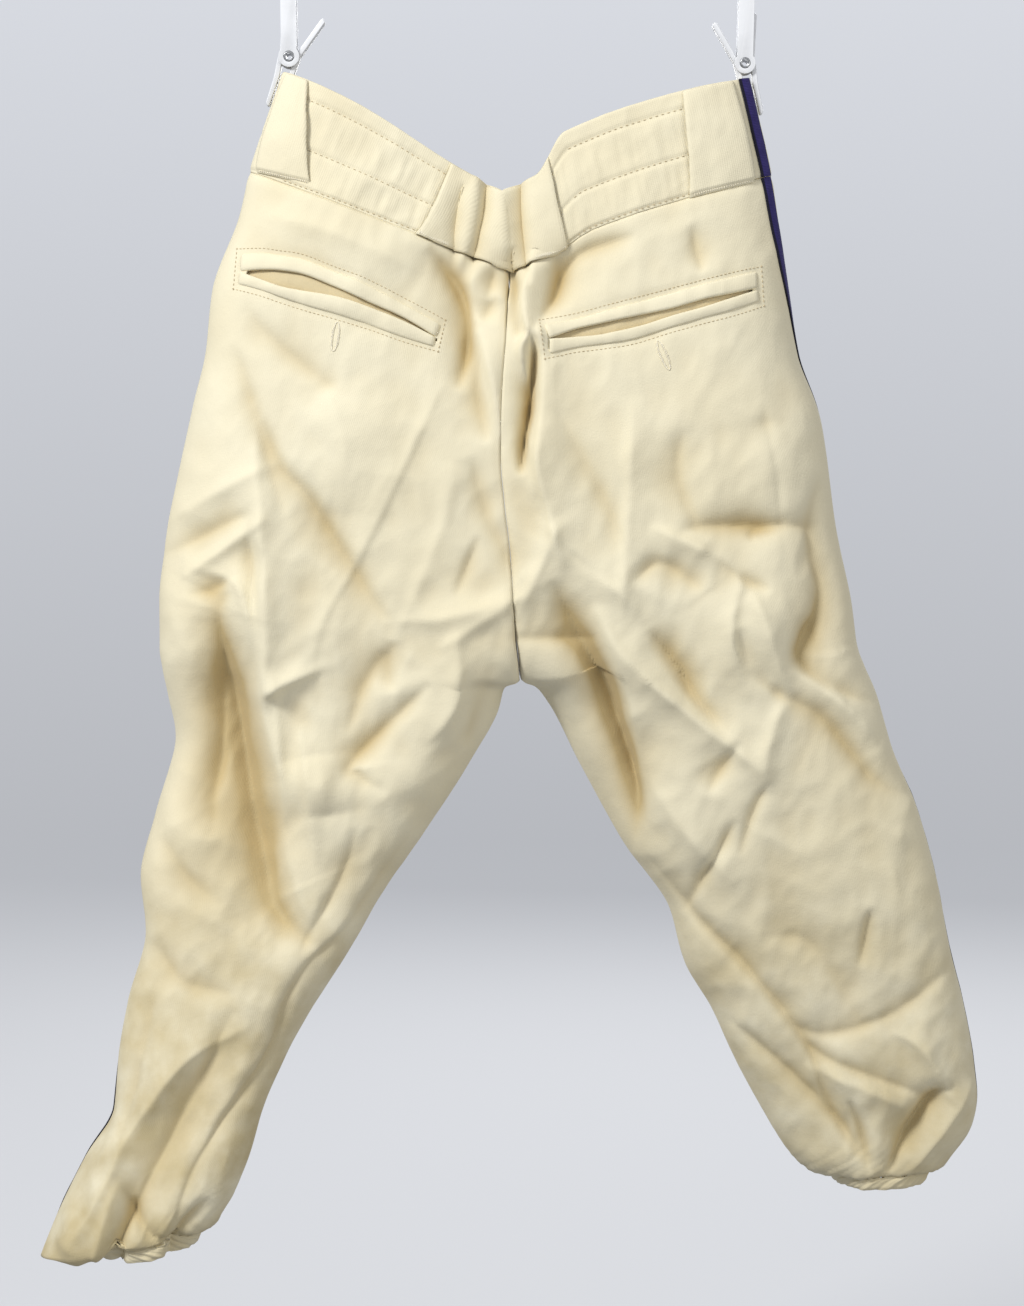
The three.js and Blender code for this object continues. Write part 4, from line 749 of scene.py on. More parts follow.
# ---------------------------------------------------------------- finishes
class Nodes:
    """A short hand for building a material's node tree."""

    def __init__(self, name: str) -> None:
        """Starts a material with a Principled shader.

        Args:
            name: The material's name.
        """
        self.material = bpy.data.materials.new(name)
        self.material.use_nodes = True
        self.tree = self.material.node_tree
        self.shader = self.tree.nodes["Principled BSDF"]
        self.frames = self.add("ShaderNodeTexCoord").outputs

    def feed(self, entry: Socket, value: object) -> None:
        """Links a socket to an input, or sets a number or a colour there."""
        if isinstance(value, Socket):
            self.tree.links.new(value, entry)
        else:
            entry.default_value = (*value, 1) if isinstance(value, tuple) else value

    def add(self, kind: str, feeds: dict | None = None, **settings: object) -> bpy.types.Node:
        """Adds a node of a kind, sets its properties and feeds its inputs."""
        node = self.tree.nodes.new(kind)
        for key, value in settings.items():
            setattr(node, key, value)
        for key, value in (feeds or {}).items():
            self.feed(node.inputs[key], value)
        return node

    def shade(self, **values: object) -> Material:
        """Feeds inputs of the shader, by name with _ for a space, and returns the material."""
        for key, value in values.items():
            self.feed(self.shader.inputs[key.replace("_", " ")], value)
        return self.material

    def noise(self, scale: float, detail: float) -> Socket:
        """The value of a noise texture in the object's own frame."""
        feeds = {"Vector": self.frames["Object"], "Scale": scale, "Detail": detail}
        return self.add("ShaderNodeTexNoise", feeds).outputs["Fac"]

    def ramp(self, value: Socket, low: float, high: float) -> Socket:
        """Maps a value from low..high to 0..1, clamped."""
        feeds = {"Value": value, "From Min": low, "From Max": high}
        return self.add("ShaderNodeMapRange", feeds).outputs["Result"]

    def spread(self, value: Socket, low: float, high: float) -> Socket:
        """Maps a value from 0..1 to low..high, clamped."""
        feeds = {"Value": value, "To Min": low, "To Max": high}
        return self.add("ShaderNodeMapRange", feeds).outputs["Result"]

    def maths(self, operation: str, *values: Socket | float) -> Socket:
        """The value of a sum of sockets and numbers."""
        return self.add("ShaderNodeMath", dict(enumerate(values)), operation=operation).outputs[0]

    def mix(self, low: Socket | Colour, high: Socket | Colour, share: Socket) -> Socket:
        """A colour a share of the way from one to another."""
        feeds = {"Factor": share, 6: low, 7: high}
        return self.add("ShaderNodeMix", feeds, data_type="RGBA").outputs[2]

    def bump(self, height: Socket, distance: float, strength: float, under: Socket | None = None) -> Socket:
        """Adds a bump, on another bump if one is given."""
        feeds = {"Height": height, "Distance": distance, "Strength": strength}
        if under is not None:
            feeds["Normal"] = under
        return self.add("ShaderNodeBump", feeds).outputs["Normal"]

    def across(self, frame: str, axis: str) -> Socket:
        """One coordinate of the UV map or of the object's own frame."""
        return self.add("ShaderNodeSeparateXYZ", {0: self.frames[frame]}).outputs[axis]

    def ribs(self, axis: str, pitch: float) -> Socket:
        """A wave along one coordinate of the UV map."""
        return self.maths("SINE", self.maths("MULTIPLY", self.across("UV", axis), 2 * math.pi / pitch))

    def stored(self, name: str) -> Socket:
        """A number that the mesh holds for each point."""
        return self.add("ShaderNodeAttribute", attribute_name=name).outputs["Fac"]


@dataclass(frozen=True)
class KnitFinish:
    """Soft matt double-knit cloth: its two tones, painted shade in folds, an age tint with painted shade,
    and the rib's pitch in metres.
    """

    name: str
    light: Colour = (0.82, 0.755, 0.56)
    dark: Colour = (0.79, 0.715, 0.51)
    # painted shade for creases, hollows and recesses
    fold_tint: Colour = (0.55, 0.43, 0.22)
    # yellowing with age, which also paints shade low on the legs
    age_tint: Colour = (0.58, 0.485, 0.28)
    rib_pitch: float = 0.0013
    rib_depth: float = 0.00005
    sheen: float = 0.12

    def make(self) -> Material:
        """Builds the material."""
        n = Nodes(self.name)
        colour = n.mix(self.dark, self.light, n.ramp(n.noise(9, 4), 0.35, 0.65))
        # Painted shade: a warm brown mixed in by the value the mesh holds for creases, hollows and recesses.
        colour = n.mix(colour, self.fold_tint, n.maths("MULTIPLY", n.stored("fold"), 0.75))
        # A blotchy tint towards the hems: partly yellowing with age, partly painted shade on the lower legs.
        blotch = n.ramp(n.noise(26, 5), 0.3, 0.8)
        colour = n.mix(colour, self.age_tint, n.maths("MULTIPLY", n.stored("age"), blotch))
        rows = n.ribs("Y", self.rib_pitch * 0.8)
        knit = n.bump(n.maths("MULTIPLY_ADD", rows, 0.35, n.ribs("X", self.rib_pitch)), self.rib_depth, 0.5)
        grain = n.bump(n.noise(900, 2), 0.0004, 0.35, knit)
        return n.shade(
            Base_Color=colour, Roughness=n.ramp(n.noise(300, 2), -1.6, 0.9),
            Normal=n.bump(n.noise(70, 4), 0.0016, 0.35, grain), Specular_IOR_Level=0.25,
            Sheen_Weight=self.sheen, Sheen_Roughness=0.45, Sheen_Tint=(1.0, 0.95, 0.82),
        )  # fmt: skip


@dataclass(frozen=True)
class BraidFinish:
    """Flat knitted braid: navy, with darker edges. UV X runs from -1 to 1 across it."""

    name: str
    middle: Colour = (0.022, 0.014, 0.115)
    tone_shift: Colour = (0.035, 0.024, 0.16)
    edge: Colour = (0.004, 0.003, 0.014)

    def make(self) -> Material:
        """Builds the material."""
        n = Nodes(self.name)
        border = n.ramp(n.maths("ABSOLUTE", n.across("UV", "X")), 0.62, 0.78)
        shade = n.mix(self.middle, self.tone_shift, n.ramp(n.noise(140, 3), 0.3, 0.7))
        knit = n.bump(n.ribs("Y", 0.0011), 0.00016, 0.6)
        return n.shade(
            Base_Color=n.mix(shade, self.edge, border), Normal=n.bump(n.noise(1200, 2), 0.0003, 0.3, knit),
            Roughness=0.72, Sheen_Weight=0.15, Sheen_Roughness=0.4, Specular_IOR_Level=0.3,
        )  # fmt: skip


@dataclass(frozen=True)
class PlasticFinish:
    """Moulded plastic with a faint unevenness and small scuffs."""

    name: str
    colour: Colour
    dull: Colour
    roughness: Pair = (0.28, 0.46)

    def make(self) -> Material:
        """Builds the material."""
        n = Nodes(self.name)
        return n.shade(
            Base_Color=n.mix(self.dull, self.colour, n.ramp(n.noise(45, 4), 0.35, 0.6)),
            Roughness=n.spread(n.noise(160, 5), *self.roughness),
            Normal=n.bump(n.noise(380, 3), 0.0002, 0.25), Coat_Weight=0.15, Coat_Roughness=0.2,
        )  # fmt: skip


@dataclass(frozen=True)
class SteelFinish:
    """Drawn steel wire with fine draw marks and dull spots."""

    name: str
    colour: Colour = (0.56, 0.57, 0.58)
    dull: Colour = (0.33, 0.32, 0.31)

    def make(self) -> Material:
        """Builds the material."""
        n = Nodes(self.name)
        return n.shade(
            Base_Color=n.mix(self.colour, self.dull, n.ramp(n.noise(120, 4), 0.45, 0.75)),
            Roughness=n.spread(n.noise(500, 3), 0.22, 0.42),
            Normal=n.bump(n.noise(1500, 2), 0.00006, 0.4), Metallic=1.0,
        )  # fmt: skip


@dataclass(frozen=True)
class ThreadFinish:
    """Sewing thread, a little darker or lighter than the cloth it is in."""

    name: str
    colour: Colour

    def make(self) -> Material:
        """Builds the material."""
        n = Nodes(self.name)
        pale = tuple(min(1.0, c * 1.12) for c in self.colour)
        return n.shade(
            Base_Color=n.mix(self.colour, pale, n.noise(400, 2)),
            Normal=n.bump(n.noise(2600, 1), 0.0001, 0.5), Roughness=0.6, Sheen_Weight=0.2,
        )  # fmt: skip


@dataclass
class Finishes:
    """Every material of the garment and its hanger."""

    knit: Material = field(default_factory=KnitFinish("cream_double_knit").make)
    band: Material = field(
        default_factory=KnitFinish("cream_band_knit", rib_pitch=0.0015, rib_depth=0.00008).make
    )
    braid: Material = field(default_factory=BraidFinish("navy_braid").make)
    thread: Material = field(default_factory=ThreadFinish("cream_thread", (0.50, 0.40, 0.24)).make)
    tack: Material = field(default_factory=ThreadFinish("tack_thread", (0.86, 0.80, 0.64)).make)
    button: Material = field(
        default_factory=PlasticFinish("button_plastic", (0.86, 0.84, 0.78), (0.76, 0.74, 0.68)).make
    )
    clip: Material = field(
        default_factory=PlasticFinish("white_clip_plastic", (0.83, 0.84, 0.86), (0.74, 0.75, 0.77)).make
    )
    steel: Material = field(default_factory=SteelFinish("drawn_steel").make)


# ---------------------------------------------------------------- meshes
@dataclass
class Grid:
    """A grid of points on the cloth, rows down and columns across, with normals and its own lengths."""

    points: Array
    normals: Array
    uv: Array

    @staticmethod
    def lengths(points: Array, axis: int) -> Array:
        """Distance travelled along one axis of a grid of points."""
        steps = np.linalg.norm(np.diff(points, axis=axis), axis=-1)
        first = np.zeros_like(np.take(steps, [0], axis=axis))
        return np.concatenate([first, np.cumsum(steps, axis=axis)], axis=axis)

    @classmethod
    def of(cls, points: Array, normals: Array) -> Grid:
        """A grid whose UV is the distance across and down it, in metres."""
        across = cls.lengths(points, 1)
        down = cls.lengths(points, 0)
        middle = down[:, down.shape[1] // 2]
        uv = np.stack([across, np.broadcast_to(middle[:, None], across.shape)], -1)
        return cls(points, normals, uv * MM)

    def lifted(self, lift: Array | float) -> Grid:
        """The same grid moved out along its normals."""
        return Grid(self.points + self.normals * np.asarray(lift)[..., None], self.normals, self.uv)


def cell_corners(values: Array) -> list[Array]:
    """A grid's values at the four corners of each of its cells, in order round the cell."""
    return [values[:-1, :-1], values[:-1, 1:], values[1:, 1:], values[1:, :-1]]


def facing_out(faces: Array, points: Array, normals: Array) -> Array:
    """Turns a grid's faces over if they don't look along its normals."""
    a, b, c = (points[faces[:, k]] for k in (0, 1, 2))
    looks = np.cross(b - a, c - a)
    return faces if (looks * normals[faces[:, 0]]).sum() > 0 else faces[:, ::-1]


def linked(name: str, data: bpy.types.ID) -> Piece:
    """An object of some data, at the origin of the scene."""
    piece = bpy.data.objects.new(name, data)
    bpy.context.scene.collection.objects.link(piece)
    return piece


def make_mesh(name: str, vertices: Array, faces: Sequence, material: Material) -> Piece:
    """Makes an object at the origin from points in millimetres.

    Args:
        name: The object's name.
        vertices: Its points.
        faces: Its faces, as point numbers.
        material: Its material.

    Returns:
        The object.
    """
    mesh = bpy.data.meshes.new(name)
    mesh.from_pydata((np.asarray(vertices, float) * MM).tolist(), [], np.asarray(faces).tolist()
                     if isinstance(faces, np.ndarray) else faces)  # fmt: skip
    mesh.materials.append(material)
    mesh.polygons.foreach_set("use_smooth", [True] * len(mesh.polygons))
    mesh.update()
    return linked(name, mesh)


def add_values(piece: Piece, name: str, values: Array) -> None:
    """Stores a number for each point of a mesh, for its material to read."""
    layer = piece.data.attributes.new(name, "FLOAT", "POINT")
    layer.data.foreach_set("value", np.ascontiguousarray(values, np.float32).ravel())


def add_uv(piece: Piece, uv: Array) -> None:
    """Gives a mesh a UV map from a coordinate pair for each point."""
    layer = piece.data.uv_layers.new(name="UVMap")
    corners = np.empty(len(piece.data.loops), np.int32)
    piece.data.loops.foreach_get("vertex_index", corners)
    layer.data.foreach_set("uv", uv.reshape(-1, 2)[corners].astype(np.float32).ravel())


def blurred(values: Array, radius: int) -> Array:
    """A grid of numbers averaged over a square window."""
    out = values
    for axis in (0, 1):
        pad = [(radius, radius) if k == axis else (0, 0) for k in (0, 1)]
        total = np.cumsum(np.pad(out, pad, mode="edge"), axis=axis)
        total = np.concatenate([np.zeros_like(np.take(total, [0], axis)), total], axis=axis)
        size = 2 * radius + 1
        high = np.take(total, range(size, total.shape[axis]), axis)
        low = np.take(total, range(0, total.shape[axis] - size), axis)
        out = (high - low) / size
    return out


def shell(
    name: str, grid: Grid, thickness: float, material: Material,
    values: dict[str, Array] | None = None, keep: Array | None = None,
) -> Piece:  # fmt: skip
    """Makes a sewn piece: a grid of cloth with a wall inside it.

    Args:
        name: The object's name.
        grid: The points of its outer skin.
        thickness: The wall's thickness, in millimetres.
        material: Its material.
        values: Numbers for each point that the material reads.
        keep: Which of the grid's faces are kept, if some aren't.

    Returns:
        The object, with a live Solidify modifier.
    """
    rows, columns = grid.points.shape[:2]
    index = np.arange(rows * columns).reshape(rows, columns)
    faces = np.stack([c.ravel() for c in cell_corners(index)], axis=-1)
    flat_points, flat_normals = grid.points.reshape(-1, 3), grid.normals.reshape(-1, 3)
    faces = facing_out(faces, flat_points, flat_normals)
    uv = grid.uv.reshape(-1, 2)
    numbers = {key: np.broadcast_to(value, (rows, columns)).ravel() for key, value in (values or {}).items()}
    if keep is not None:
        faces = faces[keep.ravel()]
        used, inverse = np.unique(faces, return_inverse=True)
        faces, flat_points, uv = inverse.reshape(faces.shape), flat_points[used], uv[used]
        numbers = {key: value[used] for key, value in numbers.items()}
    piece = make_mesh(name, flat_points, faces, material)
    add_uv(piece, uv)
    for key, value in numbers.items():
        add_values(piece, key, value)
    wall = piece.modifiers.new("wall", "SOLIDIFY")
    wall.thickness = thickness * MM
    wall.offset = -1
    return piece


def dressed(piece: Piece, slot: str, *nodes: str) -> Piece:
    """Lets a piece ride on the body, and hides the nodes it stands for."""
    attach(piece, BODY)
    if nodes:
        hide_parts(*nodes)
    LOG.info("%s stands for %s", piece.name, ", ".join(nodes) or "no node")
    return piece


def even_angles(side: SideForm, face: Face, v: Array, columns: int) -> Array:
    """Angles across rows of the form at even lengths, from the side seam to the inner seam.

    Args:
        side: The side that they are on.
        face: Back or front.
        v: Each row's place down the garment.
        columns: How many steps a row has.

    Returns:
        The angles, a row for each v.
    """
    start, end = np.radians(side["seam"](v)), face.value * np.radians(side["wrap"](v))
    dense = lerp(start[:, None], end[:, None], np.linspace(0, 1, 260)[None])
    travelled = Grid.lengths(side.points(v[:, None], dense), 1)
    goals = np.linspace(0, 1, columns + 1)
    trimmed = [np.clip(goals * row[-1], SEAM_GAP / 2, row[-1] - SEAM_GAP / 2) for row in travelled]
    return np.stack([np.interp(goal, row, angle) for goal, row, angle in zip(trimmed, travelled, dense)])


# ---------------------------------------------------------------- legs
@dataclass
class LegPanels:
    """The four leg panels, from the waist seam to the hem, and the cut of each in metres."""

    garment: Garment
    finishes: Finishes
    rows: dict[Face, int] = field(default_factory=lambda: {Face.BACK: 330, Face.FRONT: 230})
    columns: dict[Face, int] = field(default_factory=lambda: {Face.BACK: 124, Face.FRONT: 84})
    cut: dict[Face, Pair] = field(
        default_factory=lambda: {Face.BACK: (0.332, 0.77), Face.FRONT: (0.29, 0.755)}
    )
    cut_area: dict[Face, float] = field(default_factory=lambda: {Face.BACK: 0.178, Face.FRONT: 0.16})
    # how strongly each leg's back takes the age tint and its painted shade; the left leg's larger share is
    # painted shade
    tone_shift: dict[Hand, float] = field(default_factory=lambda: {Hand.LEFT: 1.6, Hand.RIGHT: 1.1})
    seam_depth: float = 1.1
    seam_reach: float = 2.4
    gathers: float = 1.5
    gather_reach: float = 26.0
    fold_window: int = 11  # grid steps round a point that it is compared with, for the painted shade
    crease_depth: float = 11.0  # depth below its surroundings at which a crease takes its full painted shade
    hollow_depth: float = 17.0  # depth below the form at which a hollow takes its full painted shade
    # how much of the painted shade the front takes
    front_shade: float = 0.45
    age_and_shade_heights: Pair = (600.0, 920.0)  # how far below the origin the age tint and its painted shade begin, and are complete
    pocket_margin: float = 2.6
    stretches: tuple[str, ...] = ("seat", "thigh", "calf")

    def build(self) -> list[Piece]:
        """Builds all four panels."""
        return [self.panel(hand, face) for face in Face for hand in Hand]

    def even_rows(self, side: SideForm, face: Face) -> Array:
        """Places down the panel at even lengths."""
        v = np.linspace(LEG_TOP, LEG_FOOT, 900)
        middle = side.points(v, face.value * side.angle(v, 0.5))
        travelled = Grid.lengths(middle[:, None], 0)[:, 0]
        return np.interp(np.linspace(0, travelled[-1], self.rows[face] + 1), travelled, v)

    def panel(self, hand: Hand, face: Face) -> Piece:
        """Builds one panel.

        Args:
            hand: The wearer's side.
            face: Back or front.

        Returns:
            The panel.
        """
        side = self.garment.sides[hand]
        v_rows = self.even_rows(side, face)
        angle = even_angles(side, face, v_rows, self.columns[face])
        v = np.broadcast_to(v_rows[:, None], angle.shape)
        points, normals = self.garment.place(hand, v, angle)
        across, down = Grid.lengths(points, 1), Grid.lengths(points, 0)
        lift = self.seam_lift(across) + self.seam_lift(down) * 0.7 + self.gather_lift(hand, across, down)
        grid = Grid.of(points, normals).lifted(lift)
        # Painted shade: the creases and hollows of the folds are tinted darker, less on the front.
        height = self.garment.fold_height(side.points(v, angle), angle)
        below = blurred(height, self.fold_window) - height
        fold = np.clip(below / self.crease_depth, 0, 0.7) + np.clip(-height / self.hollow_depth, 0, 0.95)
        fold = fold * (1.0 if face is Face.BACK else self.front_shade)
        # Darker and yellower towards the hem: partly yellowing with age, partly painted shade, more on the
        # left leg.
        tone_shift = 1.0 if face is Face.FRONT else self.tone_shift[hand]
        age = tone_shift * smoothstep(-points[..., 2], *self.age_and_shade_heights)
        keep = None if face is Face.FRONT else self.outside_pocket(hand, side.points(v, angle))
        name = f"{face.name.lower()}_{hand.value}"
        piece = shell(f"{name}_panel", grid, CLOTH, self.finishes.knit, {"fold": fold, "age": age}, keep)
        dressed(piece, "cloth", *(f"{name}_{stretch}" for stretch in self.stretches))
        return piece

    def seam_lift(self, travelled: Array) -> Array:
        """How far the cloth dips into the seams at both ends of a run, past a slight swell."""
        if travelled[0, -1] > travelled[-1, 0]:
            last = travelled[:, -1:]
        else:
            last = travelled[-1:, :]
        edge = np.minimum(travelled, last - travelled)
        return 0.35 * bell(edge - 7, 4) - self.seam_depth * bell(edge, self.seam_reach)

    def gather_lift(self, hand: Hand, across: Array, down: Array) -> Array:
        """Uneven gathers that run up the leg from the elastic hem."""
        from_foot = down[-1:, :] - down
        wave = SoftNoise(21 if hand is Hand.LEFT else 34, 7.5, 90)
        fade = np.exp(-((from_foot / self.gather_reach) ** 1.3))
        return self.gathers * wave(across, from_foot) * fade

    def outside_pocket(self, hand: Hand, points: Array) -> Array:
        """Which faces of the back are not under the pocket's welts."""
        cut = POCKETS[hand]
        share = np.linspace(0, 1, 60)
        x, z = points[..., 0], points[..., 2]
        x_top, z_top = cut.curve("top", share)
        x_low, z_low = cut.curve("bottom", share)
        order = slice(None) if x_top[0] < x_top[-1] else slice(None, None, -1)
        high = np.interp(x, x_top[order], z_top[order])
        low = np.interp(x, x_low[order], z_low[order])
        margin = self.pocket_margin
        ends = (min(x_top[0], x_top[-1]) + margin, max(x_top[0], x_top[-1]) - margin)
        inside = (x > ends[0]) & (x < ends[1]) & (z < high - margin) & (z > low + margin)
        return ~np.logical_and.reduce(cell_corners(inside))


# ---------------------------------------------------------------- waistband
@dataclass
class Waistband:
    """The waistband's four quarters: quilted over elastic behind, plain in front."""

    garment: Garment
    finishes: Finishes
    rows: int = 64
    columns: int = 150
    quilt_rows: tuple[float, ...] = (0.17, 0.57, 0.965)
    quilt_depth: float = 0.9
    quilt_reach: float = 1.5
    pucker_pitch: float = 7.5
    pucker_height: float = 0.9
    roll: float = 2.2
    cut: Pair = (0.215, 0.065)

    def build(self) -> list[Piece]:
        """Builds the four quarters."""
        return [self.quarter(hand, face) for face in Face for hand in Hand]

    def quilting(self, hand: Hand, share_down: Array, across: Array, width: float) -> Array:
        """Grooves of the stitch rows, and the puckers that they gather between them."""
        lift = np.zeros_like(across)
        between = np.ones_like(across)
        for row in self.quilt_rows:
            distance = (share_down - row) * 62.0
            lift -= self.quilt_depth * bell(distance, self.quilt_reach)
            between *= 1 - 0.75 * bell(distance, 5.0)
        seed = 51 if hand is Hand.LEFT else 67
        pucker = SoftNoise(seed, self.pucker_pitch, 46)
        fine = SoftNoise(seed + 1, self.pucker_pitch * 0.55, 30)
        strength = 1.0 if hand is Hand.RIGHT else smoothstep(across, width * 0.2, width * 0.6)
        started = smoothstep(share_down, 0.1, 0.22) * (0.55 + 0.45 * share_down)
        ends = smoothstep(across, 8.0, 26.0)
        ridges = pucker(across, share_down * 60) + 0.5 * fine(across, share_down * 60)
        return lift * ends + self.pucker_height * ridges * between * strength * started * ends

    def quarter(self, hand: Hand, face: Face) -> Piece:
        """Builds one quarter.

        Args:
            hand: The wearer's side.
            face: Back or front.

        Returns:
            The quarter.
        """
        rows = BAND_FOOT * np.concatenate([[0, 0.004, 0.012], np.linspace(0.03, 1, self.rows - 2)])
        angle = even_angles(self.garment.sides[hand], face, rows, self.columns)
        v = np.broadcast_to(rows[:, None], angle.shape)
        points, normals = self.garment.place(hand, v, angle)
        across, down = Grid.lengths(points, 1), Grid.lengths(points, 0)
        share_down = v / BAND_FOOT
        rolled = np.clip(1 - down / self.roll, 0, 1)
        lift = BAND_PROUD - self.roll * 0.6 * (1 - np.sqrt(1 - 0.98 * rolled**2))
        from_foot = down[-1:, :] - down
        edge = np.minimum(across, across[:, -1:] - across)
        lift = lift - 0.8 * bell(from_foot, 1.4) - 1.2 * bell(edge, 2.0)
        if face is Face.BACK:
            lift = lift + self.quilting(hand, share_down, across, float(across[0, -1]))
        # Painted shade: the band is tinted darker in the troughs of the folds.
        height = self.garment.fold_height(self.garment.sides[hand].points(v, angle), angle)
        fold = np.clip(-height / 14, 0, 0.8)
        name = f"waistband_{face.name.lower()}_{hand.value}"
        grid = Grid.of(points, normals).lifted(lift)
        piece = shell(f"{name}_cloth", grid, BAND, self.finishes.band, {"fold": fold})
        dressed(piece, "waistband", name)
        return piece


# ---------------------------------------------------------------- laid-on strips
@dataclass(frozen=True)
class BeltLoop:
    """Where a belt loop is sewn: shares of the way from the side at its head and foot, and v of its foot."""

    hand: Hand
    face: Face
    head: Pair
    foot: Pair
    low: Pair

    def places(self, side: SideForm, i: Array, j: Array) -> tuple[Array, Array]:
        """v and angle at shares across and down the loop."""
        v = lerp(0.012, lerp(*self.low, i), j)
        reach = lerp(lerp(*self.head, i), lerp(*self.foot, i), j)
        return v, self.face.value * side.angle(v, reach)


@dataclass
class LaidStrips:
    """Strips of cloth that lie on others: belt loops, the centre tunnel, the fly and the tab."""

    garment: Garment
    finishes: Finishes
    tunnel_left: Pair = (0.23, 0.36)
    tunnel_right: Pair = (0.185, 0.215)
    fly_width: float = 38.0
    fly_length: float = 165.0
    tab_width: float = 36.0
    loop_cut: dict[Face, Pair] = field(
        default_factory=lambda: {Face.BACK: (0.039, 0.076), Face.FRONT: (0.033, 0.073)}
    )
    loops: dict[str, BeltLoop] = field(
        default_factory=lambda: {
            "back_left": BeltLoop(Hand.LEFT, Face.BACK, (0.025, 0.125), (0.03, 0.24), (0.985, 0.9)),
            "back_right": BeltLoop(Hand.RIGHT, Face.BACK, (0.075, 0.28), (0.075, 0.325), (1.05, 1.02)),
            "front_left": BeltLoop(Hand.LEFT, Face.FRONT, (0.5, 0.66), (0.5, 0.66), (1.1, 1.1)),
            "front_right": BeltLoop(Hand.RIGHT, Face.FRONT, (0.5, 0.66), (0.5, 0.66), (1.1, 1.1)),
        }
    )

    def build(self) -> list[Piece]:
        """Builds every strip."""
        pieces = [self.loop(name) for name in self.loops]
        return pieces + [self.tunnel(), self.fly(), self.tab()]

    @staticmethod
    def mesh(rows: int, columns: int) -> tuple[Array, Array]:
        """Shares across and down of a strip's grid."""
        return np.meshgrid(np.linspace(0, 1, columns + 1), np.linspace(0, 1, rows + 1))

    @staticmethod
    def soft_edges(i: Array, j: Array, width: float, length: float) -> Array:
        """How far a folded strip's rim turns under, from its distance to the nearest edge."""
        side = np.minimum(i, 1 - i) * width
        end = np.minimum(j, 1 - j) * length
        return -0.9 * bell(side, 1.3) - 0.5 * bell(end, 1.3)

    def loop(self, name: str) -> Piece:
        """Builds one belt loop, sewn at its two ends and bowed between them."""
        loop = self.loops[name]
        i, j = self.mesh(60, 40)
        v, angle = loop.places(self.garment.sides[loop.hand], i, j)
        grid = Grid.of(*self.garment.place(loop.hand, v, angle))
        bow = BAND_TOP_LIFT + LOOP_STAND_OFF * np.sin(np.pi * j) ** 0.8
        bow = bow - 1.5 * smoothstep(j, 0.93, 0.97)
        ripple = 0.35 * SoftNoise(90, 9, 40)(i * 40, j * 70)
        lift = bow + ripple + self.soft_edges(i, j, 40, 75)
        piece = shell(f"belt_loop_{name}_cloth", grid.lifted(lift), STRIP, self.finishes.band)
        dressed(piece, "waistband", f"belt_loop_{name}")
        return piece

    def tunnel(self) -> Piece:
        """Builds the wide belt tunnel over the centre of the back."""
        i, j = self.mesh(72, 130)
        reach = lerp(-lerp(*self.tunnel_left, j), lerp(*self.tunnel_right, j), i)
        v = lerp(0.012, AT["waistSeam"] + 0.03, j)
        points, normals = np.zeros((*i.shape, 3)), np.zeros((*i.shape, 3))
        for hand in Hand:
            mine = reach < 0 if hand is Hand.LEFT else reach >= 0
            angle = self.garment.sides[hand].angle(v[mine], 1 - np.abs(reach[mine]))
            points[mine], normals[mine] = self.garment.place(hand, v[mine], angle)
        lift = BAND_TOP_LIFT + LOOP_STAND_OFF * np.sin(np.pi * j) ** 0.7
        lift = lift + self.soft_edges(i, j, 100, 62) + 0.5 * SoftNoise(77, 12, 50)(i * 100, j * 62)
        # Painted shade: the tunnel is tinted darker in the troughs of the folds.
        height = self.garment.folds[Face.BACK].height(points[..., 0], points[..., 2])
        fold = np.clip(-height / 10, 0, 1)
        piece = shell("belt_tunnel_cloth", Grid.of(points, normals).lifted(lift), STRIP,
                      self.finishes.band, {"fold": fold})  # fmt: skip
        dressed(piece, "waistband", "belt_tunnel_centre")
        return piece

    def before_centre(self, side: SideForm, v: Array, length: Array | float) -> Array:
        """Share of the way from the side to the centre that leaves a length before the centre seam."""
        run = side["innerX"](v) - side["outerX"](v)
        rise = side["innerZ"](v) - side["outerZ"](v) - side["drop"](v)
        return 1 - length / np.hypot(run, rise)

    def fly_edge(self, j: Array, inset: float = 0.0) -> tuple[Array, Array]:
        """v and share of the way at shares down the fly's J edge, or at an inset from it."""
        side = self.garment.sides[Hand.LEFT]
        yoke = side.points(AT["yoke"], -np.pi / 2) - side.points(AT["yoke"] + 0.02, -np.pi / 2)
        low = AT["waistSeam"] + self.fly_length * 0.92 * 0.02 / float(np.linalg.norm(yoke))
        v = lerp(AT["waistSeam"] + 0.02, low, j)
        bend = np.maximum(0, j - 0.7) / 0.3
        width = (self.fly_width - inset) * np.sqrt(np.maximum(0.12, 1 - bend**2))
        return v, self.before_centre(side, v, width)

    def fly(self) -> Piece:
        """Builds the fly's outer flap, with a J curve at its foot."""
        i, j = self.mesh(110, 40)
        v, edge = self.fly_edge(j)
        angle = -self.garment.sides[Hand.LEFT].angle(v, lerp(edge, 0.995, i))
        grid = Grid.of(*self.garment.place(Hand.LEFT, v, angle))
        lift = LAY_GAP + STRIP + self.soft_edges(i, j, 38, 165)
        piece = shell("fly_cloth", grid.lifted(lift), STRIP, self.finishes.knit)
        dressed(piece, "cloth", "fly_front")
        return piece

    def tab(self) -> Piece:
        """Builds the waistband's overlap at the front closure."""
        side = self.garment.sides[Hand.RIGHT]
        i, j = self.mesh(50, 36)
        v = lerp(0.02, AT["waistSeam"] - 0.02, j)
        reach = lerp(self.before_centre(side, v, self.tab_width), 0.995, i)
        grid = Grid.of(*self.garment.place(Hand.RIGHT, v, -side.angle(v, reach)))
        lift = BAND_TOP_LIFT + self.soft_edges(i, j, 36, 60)
        piece = shell("waistband_tab_cloth", grid.lifted(lift), STRIP, self.finishes.band)
        dressed(piece, "waistband", "waistband_tab")
        return piece


